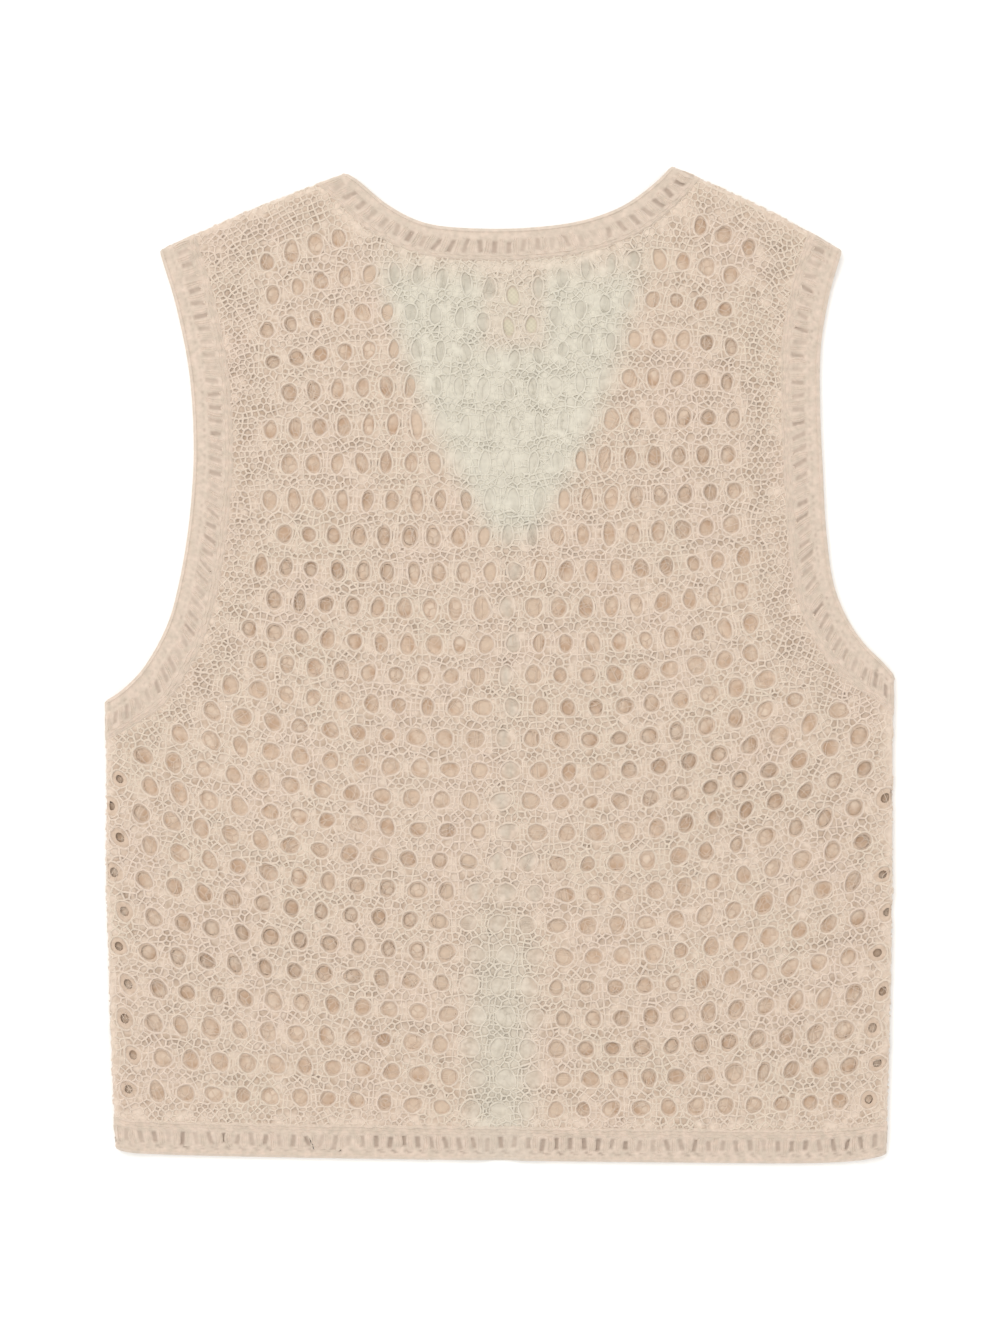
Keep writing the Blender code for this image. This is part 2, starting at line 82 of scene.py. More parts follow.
def from_photo(pixel_x, pixel_y):
    """The place on the garment that a pixel of the photo shows."""
    return np.array(
        [(pixel_x - PHOTO_ORIGIN[0]) * PHOTO_SCALE, (PHOTO_ORIGIN[1] - pixel_y) * PHOTO_SCALE]
    )


camera_data = bpy.data.cameras.new("camera")
camera_data.lens = LENS_MM
camera_data.sensor_width = SENSOR_MM
camera_data.clip_end = VIEW_DEPTH
camera = bpy.data.objects.new("camera", camera_data)
bpy.context.scene.collection.objects.link(camera)
view_middle = from_photo(PHOTO_SIZE[0] / 2, PHOTO_SIZE[1] / 2)
camera.location = (*view_middle, PHOTO_SIZE[1] * PHOTO_SCALE * LENS_MM / SENSOR_MM)
bpy.context.scene.camera = camera
bpy.context.scene.view_settings.view_transform = "Standard"
print("camera height:", round(camera.location.z, 3))

# %% [markdown]
# ## The cut of the cloth
#
# A knitter measures a garment flat: side seams, armholes, shoulders, neck and front
# edges. The same curves are written here, as the solids have them, so that the yarn
# can be charted on flat cloth and then laid in its place. Curves through a few named
# points are easier to read and to change than a traced outline.

# %% The cloth
WALL = 2.2 * MM  # thickness of the cloth
HALF_WALL = WALL / 2
LAYER_GAP = 0.3 * MM  # between the back and the fronts
FOLD_RADIUS = 2.2 * MM  # of the middle of the cloth, at the side and shoulder seams
FOLD_ARC = FOLD_RADIUS * math.pi / 2  # cloth in a quarter turn
FOLD_EASE = FOLD_ARC - FOLD_RADIUS  # how much more cloth a fold takes than a straight line
FRONT_HEIGHT = HALF_WALL  # of the middle of the cloth over the ground
BACK_HEIGHT = FRONT_HEIGHT + WALL + LAYER_GAP
FOLD_TOP = FRONT_HEIGHT + 2 * FOLD_RADIUS
FOLD_MIDDLE = FRONT_HEIGHT + FOLD_RADIUS
FOLD_FADE = 13 * MM  # over which the back comes down from a fold
FOLD_END_Y = 12 * MM  # above this the sides are open, at the armholes
NECK_SAG = 1.1 * MM  # of the back into the fronts' opening, in the V
FRONT_GAP_SAG = 2.1 * MM  # and in the gap above the hem
SAG_START = 9 * MM  # inside the edge of the opening
SAG_RUN = 14 * MM
BAND_WIDTH = 18.0 * MM
END_BLEND = 25 * MM  # over which a band's inner edge turns to meet its seam
NORMAL_STEP = 0.1 * MM  # for the slope of the laid cloth
FAR = 1.0  # farther than anything here
CURVE_STEPS = 40  # between two points of a table
CURVE_SAMPLES = 400  # along the finished curve
SIDES = ("left", "right")
SIGN = {"left": -1.0, "right": 1.0}  # which way is out, along x
print("cloth and bands, mm:", round(WALL / MM, 1), "thick and", round(BAND_WIDTH / MM, 1), "wide")

# %% Points of the seams and edges
# Side seams, from the hem up: (y, left x, right x), in mm as all the tables here
SIDE_SECTIONS = (
    (-270.0, -210.2, 212.4),
    (-255.0, -212.0, 213.3),
    (-215.0, -214.0, 214.7),
    (-156.0, -215.6, 215.9),
    (-125.0, -216.8, 216.6),
    (-20.0, -216.8, 216.8),
)
UNDERARM_Y = {"left": -20.0 * MM, "right": -6.5 * MM}
HEM_Y = {"left": -265.3 * MM, "right": -268.2 * MM}
HEM_SECTIONS = (
    (-192.0, -268.0),
    (-120.0, -269.9),
    (0.0, -271.7),
    (100.0, -272.8),
    (165.0, -273.2),
    (195.0, -271.8),
)
# Armholes, from the underarm up: (left x, left y, right x, right y)
ARMHOLE_SECTIONS = (
    (-208.0, -14.5, 209.0, 2.6),
    (-197.0, -3.6, 199.5, 12.6),
    (-187.2, 12.0, 190.0, 27.5),
    (-179.6, 30.0, 182.9, 46.5),
    (-173.2, 59.0, 179.2, 75.0),
    (-169.2, 90.0, 177.4, 108.0),
    (-167.8, 122.0, 176.0, 140.0),
    (-170.2, 160.0, 176.3, 174.0),
    (-177.2, 196.0, 181.2, 204.0),
)
# Shoulder seams: tip x and y, neck point x and y, bow
SHOULDERS = {
    "left": (-186.6, 228.0, -85.3, 270.2, 2.0),
    "right": (188.0, 228.0, 94.8, 274.1, 2.6),
}
NECK_SECTIONS = (
    (-76.8, 265.2),
    (-60.0, 252.0),
    (-40.0, 242.8),
    (-14.0, 240.0),
    (16.0, 240.4),
    (44.0, 244.0),
    (67.0, 252.0),
    (84.5, 264.0),
)
# Free edges of the fronts, from the shoulders down: (left x, right x, y)
FRONT_EDGE_SECTIONS = (
    (-72.0, 83.0, 240.0),
    (-58.5, 70.5, 201.0),
    (-44.0, 57.5, 157.0),
    (-24.0, 40.5, 113.0),
    (-5.0, 20.0, 78.0),
    (4.2, 7.6, 40.0),
    (3.2, 5.4, -10.0),
    (1.4, 3.8, -55.0),
    (-7.0, 10.5, -98.0),
    (-20.5, 22.5, -140.0),
    (-23.0, 25.0, -190.0),
    (-22.8, 25.0, -240.0),
)
# Low swells of the back: centre x, y, half length, half width, height, turn in degrees
BACK_SWELLS = (
    (-118.0, -150.0, 120.0, 30.0, 1.1, 12.0),
    (95.0, -205.0, 95.0, 24.0, 0.8, -7.0),
    (120.0, -60.0, 90.0, 26.0, 1.0, -22.0),
    (-95.0, 45.0, 80.0, 28.0, 0.9, 28.0),
    (115.0, 130.0, 70.0, 22.0, 0.7, 74.0),
    (-125.0, 175.0, 45.0, 20.0, 0.6, -64.0),
)
print("points of the fronts' edges:", len(FRONT_EDGE_SECTIONS))

# %% [markdown]
# ## Curves on the flat cloth
#
# A seam or an edge is a smooth curve through the points of its table. The cloth that
# turns over at a side or shoulder seam is drawn out flat, so there the cut is a little
# wider than the garment as it lies.

# %% Smooth curves


def smooth_step(value):
    """0 below 0, 1 above 1, and a soft rise between."""
    clipped = np.clip(value, 0.0, 1.0)
    return clipped * clipped * (3.0 - 2.0 * clipped)


def run_of(curve):
    """Length of the curve up to each of its points."""
    steps = np.linalg.norm(np.diff(curve, axis=0), axis=1)
    return np.concatenate([[0.0], np.cumsum(steps)])


def at_shares(curve, shares):
    """Points at these shares of the curve's length."""
    run = run_of(curve)
    return np.stack([np.interp(shares, run / run[-1], column) for column in curve.T], 1)


def smooth_curve(points):
    """A dense smooth curve through the points, evenly spaced along its length."""
    points = np.asarray(points, float)
    before = 2 * points[0] - points[1]
    after = 2 * points[-1] - points[-2]
    padded = np.vstack([before, points, after])
    t = np.linspace(0.0, 1.0, CURVE_STEPS, endpoint=False)[:, None]
    pieces = []
    for a, b, c, d in zip(padded, padded[1:], padded[2:], padded[3:]):
        bend = 2 * a - 5 * b + 4 * c - d
        twist = 3 * (b - c) + d - a
        pieces.append(b + 0.5 * t * (c - a + t * (bend + t * twist)))
    dense = np.vstack(pieces + [points[-1:]])
    return at_shares(dense, np.linspace(0.0, 1.0, CURVE_SAMPLES))


print("a soft rise, at quarters:", smooth_step(np.linspace(0.0, 1.0, 5)))

# %% Seams


def side_x(side, y):
    """Outline of a side seam at a height."""
    heights, left, right = (np.array(column) * MM for column in zip(*SIDE_SECTIONS))
    return np.interp(y, heights, left if side == "left" else right)


def shoulder_line(side):
    """Tip of a shoulder seam, its direction to the neck, its inward normal, its length and bow."""
    tip_x, tip_y, neck_x, neck_y, bow = (value * MM for value in SHOULDERS[side])
    tip = np.array([tip_x, tip_y])
    span = np.array([neck_x, neck_y]) - tip
    length = float(np.linalg.norm(span))
    along = span / length
    inward = np.array([-SIGN[side] * abs(along[1]), -abs(along[0])])
    return tip, along, inward, length, bow


def shoulder_length(side):
    return shoulder_line(side)[3]


def side_point(side, y):
    """A point of the flat cloth on a side seam."""
    return np.array([side_x(side, y) + SIGN[side] * (FOLD_EASE - HALF_WALL), y])


def shoulder_point(side, place):
    """A point of the flat cloth on a shoulder seam, at a length from the shoulder's tip."""
    tip, along, inward, length, bow = shoulder_line(side)
    share = np.clip(place / length, 0.0, 1.0)
    out = FOLD_EASE - HALF_WALL + 4 * bow * share * (1 - share)
    return tip + along * place - inward * out


print("shoulder seams, mm:", [round(shoulder_length(side) / MM) for side in SIDES])

# %% Free edges


def hem_curve():
    ends = {side: side_point(side, HEM_Y[side]) for side in SIDES}
    return smooth_curve(np.vstack([ends["left"], np.array(HEM_SECTIONS) * MM, ends["right"]]))


def front_edge_curve(side):
    """Free edge of a front, from the shoulder seam to the hem."""
    column = SIDES.index(side)
    rows = np.array([(row[column], row[2]) for row in FRONT_EDGE_SECTIONS]) * MM
    start = shoulder_point(side, shoulder_length(side))
    end = [rows[-1, 0], np.interp(rows[-1, 0], HEM_EDGE[:, 0], HEM_EDGE[:, 1])]
    return smooth_curve(np.vstack([start, rows, end]))


def neck_curve():
    ends = {side: shoulder_point(side, shoulder_length(side)) for side in SIDES}
    return smooth_curve(np.vstack([ends["left"], np.array(NECK_SECTIONS) * MM, ends["right"]]))


def armhole_curve(side):
    """Free edge of an armhole, from the underarm to the shoulder tip."""
    column = 2 * SIDES.index(side)
    rows = np.array([row[column : column + 2] for row in ARMHOLE_SECTIONS]) * MM
    start = side_point(side, UNDERARM_Y[side])
    return smooth_curve(np.vstack([start, rows, shoulder_point(side, 0.0)]))


HEM_EDGE = hem_curve()
NECK_EDGE = neck_curve()
FRONT_EDGES = {side: front_edge_curve(side) for side in SIDES}
ARMHOLES = {side: armhole_curve(side) for side in SIDES}
for name, curve in (("hem", HEM_EDGE), ("neck", NECK_EDGE), ("left armhole", ARMHOLES["left"])):
    print(name, "edge, mm:", round(run_of(curve)[-1] / MM))

# %% [markdown]
# ## Laying the cloth
#
# Each point of the flat cloth goes to its place on the laid garment: the fronts lie on the ground, the
# back lies over them, and at the side and shoulder seams the cloth turns over in a soft half round. A
# cloth simulation would also do this, but the garment has settled long ago and is nearly flat, so a
# formula gives the same shape, and gives it again on each run. Where the back lies alone, in the V of the
# fronts and in the gap above the hem, it sinks a little, and its tone has painted light from below.

# %% Distance from a fold


def fold_distances(points):
    """How far each point lies inside the nearest fold's middle line, and the way inward."""
    x, y = points.T
    distances = []
    ways = []
    for side in SIDES:
        past_underarm = np.maximum(0.0, y - FOLD_END_Y)
        distances.append(-SIGN[side] * (x - side_x(side, y)) - HALF_WALL + past_underarm)
        ways.append(np.tile([-SIGN[side], 0.0], (len(points), 1)))
        tip, along, inward, length, bow = shoulder_line(side)
        share = np.clip(((points - tip) @ along) / length, 0.0, 1.0)
        distance = (points - tip) @ inward - HALF_WALL + 4 * bow * share * (1 - share)
        distances.append(np.where(SIGN[side] * x > 0, distance, FAR))
        ways.append(np.tile(inward, (len(points), 1)))
    distances = np.stack(distances)
    nearest = np.argmin(distances, axis=0)
    pick = np.arange(len(points))
    return distances[nearest, pick], np.stack(ways)[nearest, pick]


print("the middle lies", round(fold_distances(np.zeros((1, 2)))[0][0] / MM), "mm inside the nearest fold")

# %% Where the back lies alone
LAYER_EDGE = 11.0 * MM  # over which the tone of the lit layer comes in, to each side
# How much wider than the fronts' opening the lit zone is, at two heights. In the V light
# also comes through the thin edges of the fronts.
LAYER_HEIGHTS = mm(-120.0, 60.0)
LAYER_SPARE = mm(-8.0, 4.0)
LAYER_NARROW = mm(5.0, 14.0)  # half width of the opening where the tone begins, and is whole
# Share of the painted light from below at heights of the lower gap, and below the neck band
LOW_GAP = mm(-195.0, -162.0, -145.0, -125.0)
LOW_GAP_SHARES = (0.72, 0.56, 0.32, 0.12)
NECK_FADE = mm(206.0, 213.0, 220.0, 230.0)
NECK_FADE_SHARES = (1.0, 0.82, 0.5, 0.2)
LABEL_SIZE = mm(34.0, 46.0, 0.8)
LABEL_CENTRE = mm(8.0, 197.0)
LABEL_SHARE = 0.48  # of the painted light from below, where the label lies underneath


def front_edge_x(y):
    """Where the free edges of the two fronts lie at a height."""
    return [np.interp(y, edge[::-1, 1], edge[::-1, 0]) for edge in FRONT_EDGES.values()]


def opening_depth(x, y):
    """How far inside the fronts' opening a point lies, below 0 over a front."""
    left, right = front_edge_x(y)
    return np.minimum(x - left, right - x)


def single_layer(x, y):
    """How much painted light from below the back's cloth gets, where no front lies under it."""
    left, right = front_edge_x(y)
    first, last = LAYER_NARROW
    wide = smooth_step(((right - left) / 2 - first) / (last - first))
    depth = opening_depth(x, y) + np.interp(y, LAYER_HEIGHTS, LAYER_SPARE)
    tone = smooth_step(depth / (2 * LAYER_EDGE) + 0.5) * wide
    beside_x = np.abs(x - LABEL_CENTRE[0]) - LABEL_SIZE[0] / 2
    beside_y = np.abs(y - LABEL_CENTRE[1]) - LABEL_SIZE[1] / 2
    over_label = 1 - smooth_step(np.maximum(beside_x, beside_y) / LAYER_EDGE + 0.5)
    upper = np.interp(y, NECK_FADE, NECK_FADE_SHARES) * (1 - (1 - LABEL_SHARE) * over_label)
    return tone * np.where(y > 0, upper, np.interp(y, LOW_GAP, LOW_GAP_SHARES))


print("share of the lit tone in the middle of the V:", np.round(single_layer(0.0, 150 * MM), 2))

# %% Height of the cloth


def swell_height(x, y):
    total = np.zeros_like(x)
    for centre_x, centre_y, half_length, half_width, height, turn in BACK_SWELLS:
        angle = math.radians(turn)
        dx = x - centre_x * MM
        dy = y - centre_y * MM
        along = (dx * math.cos(angle) + dy * math.sin(angle)) / (half_length * MM)
        across = (dy * math.cos(angle) - dx * math.sin(angle)) / (half_width * MM)
        total += height * MM * np.exp(-(along**2) - across**2)
    return total


def back_height(x, y, distance):
    """Height of the middle of the back's cloth."""
    from_fold = np.maximum(0.0, distance + FOLD_EASE - FOLD_ARC)
    near_fold = np.exp(-((from_fold / FOLD_FADE) ** 2))
    depth = opening_depth(x, y)
    sag = smooth_step((depth - SAG_START) / SAG_RUN) * np.where(y > 0, NECK_SAG, FRONT_GAP_SAG)
    swell = swell_height(x, y) * (1.0 - smooth_step(depth / SAG_RUN))
    settled = BACK_HEIGHT - sag + swell
    return settled + (FOLD_TOP - settled) * near_fold


print("the back's swells rise by", max(row[4] for row in BACK_SWELLS), "mm at most")

# %% Laying points of the cloth


def lay(layer, points):
    """Places points of the flat cloth on the laid garment, in the middle of the wall."""
    distance, inward = fold_distances(points)
    from_seam = distance + FOLD_EASE
    turn = np.minimum(from_seam / FOLD_RADIUS, math.pi / 2)
    in_fold = from_seam < FOLD_ARC
    shift = np.where(in_fold, FOLD_RADIUS * (1.0 - np.cos(turn)) - distance, 0.0)
    plan = points + inward * shift[:, None]
    rise = FOLD_RADIUS * np.sin(turn)
    if layer == "back":
        height = np.where(in_fold, FOLD_MIDDLE + rise, back_height(*points.T, distance))
    else:
        height = np.where(in_fold, FOLD_MIDDLE - rise, FRONT_HEIGHT)
    return np.column_stack([plan, height])


def outward(layer, points):
    """Direction out of the garment, square to its cloth."""
    dx = np.array([NORMAL_STEP, 0.0])
    dy = np.array([0.0, NORMAL_STEP])
    along_x = lay(layer, points + dx) - lay(layer, points - dx)
    along_y = lay(layer, points + dy) - lay(layer, points - dy)
    normal = np.cross(along_x, along_y)
    normal /= np.linalg.norm(normal, axis=1)[:, None]
    return normal if layer == "back" else -normal


def placed(layer, points, heights):
    """Points of the flat cloth laid in place, and lifted off the middle of the wall."""
    points = np.asarray(points, float)
    return lay(layer, points) + outward(layer, points) * np.asarray(heights)[:, None]


middle = placed("back", np.array([[0.0, 0.0]]), [0.0])[0]
print("the back lies", round(middle[2] / MM, 2), "mm over the ground in the middle")

# %% [markdown]
# ## Bands
#
# A band is crocheted round an edge, one stitch beside the other. Its free edge is the
# outline of the garment, and its inner edge is where it joins the knitting. A place
# on it is given by how far along it is and how far across, which is also how a
# crochet chart is read.

# %% Bands


class Band:
    """One layer of a band, between its free edge and the knitting."""

    def __init__(self, layer, free, start, end, side_sign):
        step = np.gradient(free, axis=0)
        step /= np.linalg.norm(step, axis=1)[:, None]
        moved = free + side_sign * BAND_WIDTH * np.column_stack([-step[:, 1], step[:, 0]])
        run = run_of(free)
        near_start = (1.0 - smooth_step(run / END_BLEND))[:, None]
        near_end = (1.0 - smooth_step((run[-1] - run) / END_BLEND))[:, None]
        self.layer = layer
        self.free = free
        self.inner = moved + (start - moved[0]) * near_start + (end - moved[-1]) * near_end
        self.length = run[-1]

    def line(self, across):
        """The line that runs along the band at a share of its width."""
        return self.free + across * (self.inner - self.free)

    def points(self, along, across, heights):
        """Laid points at shares of the band's length and of its width."""
        free = at_shares(self.free, along)
        inner = at_shares(self.inner, along)
        flat = free + np.asarray(across)[:, None] * (inner - free)
        return placed(self.layer, flat, heights)


print("a band is", round(BAND_WIDTH / MM), "mm wide")

# %% The bands of this top


def armhole_band(layer, side):
    start = side_point(side, UNDERARM_Y[side] - BAND_WIDTH)
    end = shoulder_point(side, BAND_WIDTH)
    return Band(layer, ARMHOLES[side], start, end, SIGN[side])


def neck_band():
    start = shoulder_point("left", shoulder_length("left") - BAND_WIDTH)
    end = shoulder_point("right", shoulder_length("right") - BAND_WIDTH)
    return Band("back", NECK_EDGE, start, end, -1.0)


def hem_band_back():
    start = side_point("left", HEM_Y["left"] + BAND_WIDTH)
    end = side_point("right", HEM_Y["right"] + BAND_WIDTH)
    return Band("back", HEM_EDGE, start, end, 1.0)


def hem_band_front(side):
    """A front's hem band, from the side seam to the front edge's band."""
    free = HEM_EDGE if side == "left" else HEM_EDGE[::-1]
    stop_x = FRONT_EDGES[side][-1, 0] + SIGN[side] * BAND_WIDTH
    free = free[SIGN[side] * (free[:, 0] - stop_x) > 0]
    stop_y = np.interp(stop_x, HEM_EDGE[:, 0], HEM_EDGE[:, 1])
    free = np.vstack([free, [stop_x, stop_y]])
    start = side_point(side, HEM_Y[side] + BAND_WIDTH)
    return Band("front", free, start, np.array([stop_x, stop_y + BAND_WIDTH]), -SIGN[side])


def front_edge_band(side):
    """The band down a front's free edge, from the shoulder seam to the hem."""
    free = FRONT_EDGES[side]
    start = shoulder_point(side, shoulder_length(side) - BAND_WIDTH)
    end = free[-1] + np.array([SIGN[side] * BAND_WIDTH, 0.0])
    return Band("front", free, start, end, SIGN[side])


BACK_HEM = hem_band_back()
BACK_NECK = neck_band()
ARMHOLE_BANDS = {(layer, side): armhole_band(layer, side) for layer in ("back", "front") for side in SIDES}
FRONT_HEMS = {side: hem_band_front(side) for side in SIDES}
FRONT_BANDS = {side: front_edge_band(side) for side in SIDES}
print("band lengths, mm:", round(BACK_HEM.length / MM), round(BACK_NECK.length / MM))

# %% [markdown]
# ## Where the eyelets are
#
# The eyelets stand in rows, and each row bends with the cloth: it hangs lowest near
# the middle, rises to the sides below the armholes, and follows the shoulders at the
# top. Neighbouring rows are shifted by a quarter of a stitch. A short table says how
# each row lies, and the rows between follow.

# %% Rows of eyelets
LAST_ROW = 27
# Columns of the next table: the row's number, height and place of its lowest point, rise
# to the left and to the right edge, humps towards the two shoulders, and distance
# between two eyelets
ROW, HEIGHT, LOWEST, RISE_LEFT, RISE_RIGHT, HUMP_LEFT, HUMP_RIGHT, PITCH = range(8)
ROW_SHAPES = (
    (1.0, -244.5, -8.0, 15.0, 6.0, 4.0, 0.5, 15.6),
    (4.0, -193.0, -4.0, 20.0, 11.5, 3.0, -2.0, 15.9),
    (8.0, -124.5, 4.0, 26.5, 27.0, -0.5, -3.5, 16.3),
    (12.0, -57.5, 18.0, 20.5, 45.5, -1.0, -3.5, 16.4),
    (16.0, 12.5, 18.0, 13.0, 34.0, -2.5, -2.0, 14.5),
    (20.0, 91.0, 12.0, 0.0, 15.0, -0.5, 0.0, 13.4),
    (23.0, 151.0, 12.0, -8.0, -5.0, 3.0, 7.5, 13.3),
    (25.5, 193.0, 10.0, -12.0, -12.0, 13.0, 20.5, 13.2),
    (28.0, 240.0, 8.0, -21.0, -24.0, 22.0, 32.0, 13.2),
    (31.0, 296.0, 8.0, -28.0, -32.0, 30.0, 40.0, 13.2),
)
RISE_REACH = 200.0 * MM  # from the lowest point to the edge
HUMP_REACH = 80.0 * MM  # from the lowest point to the top of a hump
HUMP_END = 2.4  # of that, where the hump's curve ends
ROW_SHIFT = 0.125  # of a stitch, to one side and the other in turn
DRIFT_ROWS = (9.0, 18.0)  # between these the columns of eyelets move across
DRIFT = (0.09, 0.48)


def row_value(row, column):
    """A value of the table at a row, also between two rows."""
    rows = [shape[ROW] for shape in ROW_SHAPES]
    return np.interp(row, rows, [shape[column] * MM for shape in ROW_SHAPES])


def stitch_place(across, row):
    """Where a stitch lies on the flat cloth, by its number across and its row."""
    across, row = np.broadcast_arrays(np.asarray(across, float), np.asarray(row, float))
    x = across * row_value(row, PITCH)
    d = x - row_value(row, LOWEST)
    first_step = row_value(2.0, HEIGHT) - row_value(1.0, HEIGHT)
    below_first = np.minimum(0.0, row - ROW_SHAPES[0][ROW]) * first_step
    rise = np.where(d < 0, row_value(row, RISE_LEFT), row_value(row, RISE_RIGHT)) * (d / RISE_REACH) ** 2
    hump = np.where(d < 0, row_value(row, HUMP_LEFT), row_value(row, HUMP_RIGHT))
    bump = hump * np.sin(np.pi / 2 * np.minimum(np.abs(d) / HUMP_REACH, HUMP_END))
    return np.stack([x, row_value(row, HEIGHT) + below_first + rise + bump], -1)


def row_shift(row):
    """How far a row of eyelets is shifted across, in stitches."""
    turn = -ROW_SHIFT if round(row) % 2 else ROW_SHIFT
    return turn + float(np.interp(row, DRIFT_ROWS, DRIFT))


print("stitches across below the armholes:", round(2 * side_x("right", 0.0) / row_value(12, PITCH)))

# %% [markdown]
# ## The edge of each panel
#
# The net is charted a little larger than the panel and then cut: at a seam it ends on
# the seam line, and at a band it runs a little way in under the crochet, as the real
# stitches do where the band picks them up.

# %% Outlines of the panels
TUCK = 0.86  # share of a band's width where the net under it ends
OUTLINE_POINTS = 60  # along each band
BLOCK = 4000  # points that are measured at once, to save memory
GRID_REACH = (0.23, 0.28)  # half width and half height of a grid over the whole top
AREA_STEP = 2 * MM


def seam_points(side, first_y, last_y, count=12):
    return np.array([side_point(side, y) for y in np.linspace(first_y, last_y, count)])


def shoulder_points(side, first, last, count=8):
    return np.array([shoulder_point(side, place) for place in np.linspace(first, last, count)])


def band_points(band):
    return at_shares(band.line(TUCK), np.linspace(0.0, 1.0, OUTLINE_POINTS))


def back_outline():
    """The cut of the back, anticlockwise from the left end of the hem."""
    tuck = TUCK * BAND_WIDTH
    hem = band_points(BACK_HEM)
    right_arm = band_points(ARMHOLE_BANDS["back", "right"])
    left_arm = band_points(ARMHOLE_BANDS["back", "left"])
    parts = [
        hem,
        seam_points("right", hem[-1, 1], right_arm[0, 1]),
        right_arm,
        shoulder_points("right", tuck, shoulder_length("right") - tuck),
        band_points(BACK_NECK)[::-1],
        shoulder_points("left", shoulder_length("left") - tuck, tuck),
        left_arm[::-1],
        seam_points("left", left_arm[0, 1], hem[0, 1]),
    ]
    return np.vstack(parts)


def front_outline(side):
    """The cut of a front."""
    tuck = TUCK * BAND_WIDTH
    hem = band_points(FRONT_HEMS[side])
    arm = band_points(ARMHOLE_BANDS["front", side])
    edge = band_points(FRONT_BANDS[side])
    edge = edge[edge[:, 1] > hem[-1, 1]]
    parts = [
        hem,
        edge[::-1],
        shoulder_points(side, shoulder_length(side) - tuck, tuck),
        arm[::-1],
        seam_points(side, arm[0, 1], hem[0, 1]),
    ]
    return np.vstack(parts)


OUTLINES = {"back": back_outline(), "left": front_outline("left"), "right": front_outline("right")}
print("points of the outlines:", [len(outline) for outline in OUTLINES.values()])

# %% Inside a cut, and its area


def depth_inside(points, outline):
    """How far inside the outline each point lies, below 0 outside."""
    start = outline
    span = np.roll(outline, -1, axis=0) - outline
    depth = np.empty(len(points))
    for first in range(0, len(points), BLOCK):
        part = points[first : first + BLOCK, None, :]
        offset = part - start
        share = np.clip((offset * span).sum(-1) / np.maximum((span**2).sum(-1), 1e-12), 0.0, 1.0)
        gap = np.linalg.norm(offset - share[..., None] * span, axis=-1).min(1)
        ends = start + span
        low = np.minimum(start[:, 1], ends[:, 1]) <= part[..., 1]
        high = part[..., 1] < np.maximum(start[:, 1], ends[:, 1])
        with np.errstate(divide="ignore", invalid="ignore"):
            cross_x = start[:, 0] + (part[..., 1] - start[:, 1]) * span[:, 0] / span[:, 1]
        inside = (low & high & (part[..., 0] < cross_x)).sum(1) % 2 == 1
        depth[first : first + BLOCK] = np.where(inside, gap, -gap)
    return depth


def grid(step):
    """Points of a square grid over the whole top."""
    reach_x, reach_y = GRID_REACH
    x, y = np.meshgrid(np.arange(-reach_x, reach_x, step), np.arange(-reach_y, reach_y, step))
    return np.column_stack([x.ravel(), y.ravel()])


def cut_area(outline):
    """Area of a cut, by counting the points of a fine grid in it."""
    return float((depth_inside(grid(AREA_STEP), outline) > 0).sum() * AREA_STEP * AREA_STEP)


for name, outline in OUTLINES.items():
    print(name, "panel's cut, square metres:", round(cut_area(outline), 4))

# %% [markdown]
# ## Charting the openwork
#
# Knitted openwork is a net of yarn round holes, so it is charted by its holes: a large
# one for each eyelet, a half moon above and below it, long thin ones between the
# drawn-together strands that stand between two eyelets, and small uneven ones
# everywhere else. The yarn runs on the borders between neighbouring holes. Those
# borders are found with Blender's own triangulation: it joins neighbouring holes, and
# the middle of each triangle is a crossing of the yarn.

# %% Holes of the chart
EYELET, MOON, SLIT, SMALL = range(4)
EYELET_HALF_WIDTH = 0.28  # of the distance between two eyelets, and
EYELET_SPARE = 0.85 * MM  # for the yarn
EYELET_HALF_HEIGHT = 0.312  # of the distance between two rows
LEAST_HEIGHT = mm(4.9, 4.1)  # in the body and in the yoke
YOKE_ROWS = (14, 19)
MOON_PLACE = 0.405  # above and below the middle of the eyelet, in rows
SLIT_PLACES = (-0.12, 0.0, 0.12)  # across the drawn-together strands
SLIT_HEIGHTS = (-0.22, 0.0, 0.22)
SLIT_FAN = 1.3  # how much wider the strands stand at their two ends
STAND_HEIGHTS = (-0.2, 0.0, 0.2)  # where the cloth between two eyelets is raised
# Small holes from one eyelet to the next, and rows of them from one row to the next.
# The fronts lie underneath, so their net is charted with larger holes.
SMALL_HOLES = {"back": (4, 6), "front": (3, 5)}
SMALL_JITTER = 0.6 * MM
SLIT_JITTER = 0.3 * MM
ARMHOLE_PLAIN = mm(11.0, 24.0)  # plain net beside an armhole's band, low and high
UNDERARM_RANGE = mm(-30.0, -5.0)  # from the underarm, where it widens
SHOULDER_PLAIN = 21.0 * MM  # the same below a shoulder seam,
NECK_PLAIN = 6.5 * MM  # beside the neck band
HEM_PLAIN = 7.0 * MM  # and above the hem band
EDGE_SPARE = 6.0 * MM  # of chart outside the cut
# How far each layer's chart is slipped, in stitches and rows: the eyelets of the fronts
# don't lie under those of the back
LAYER_SLIP = {"back": (0.0, 0.0), "front": (0.3, 0.5)}
LEAN = 0.23  # at the sides, below the underarms
LEAN_START = 60.0 * MM  # from the middle
LEAN_RUN = 95.0 * MM  # over which it grows
LEAN_TOP = 25.0 * MM  # heights between which eyelets lean
LEAN_BOTTOM = -275.0 * MM
LEAN_FADE = 75.0 * MM
SIZE_PLAY = 0.08  # of an eyelet's size
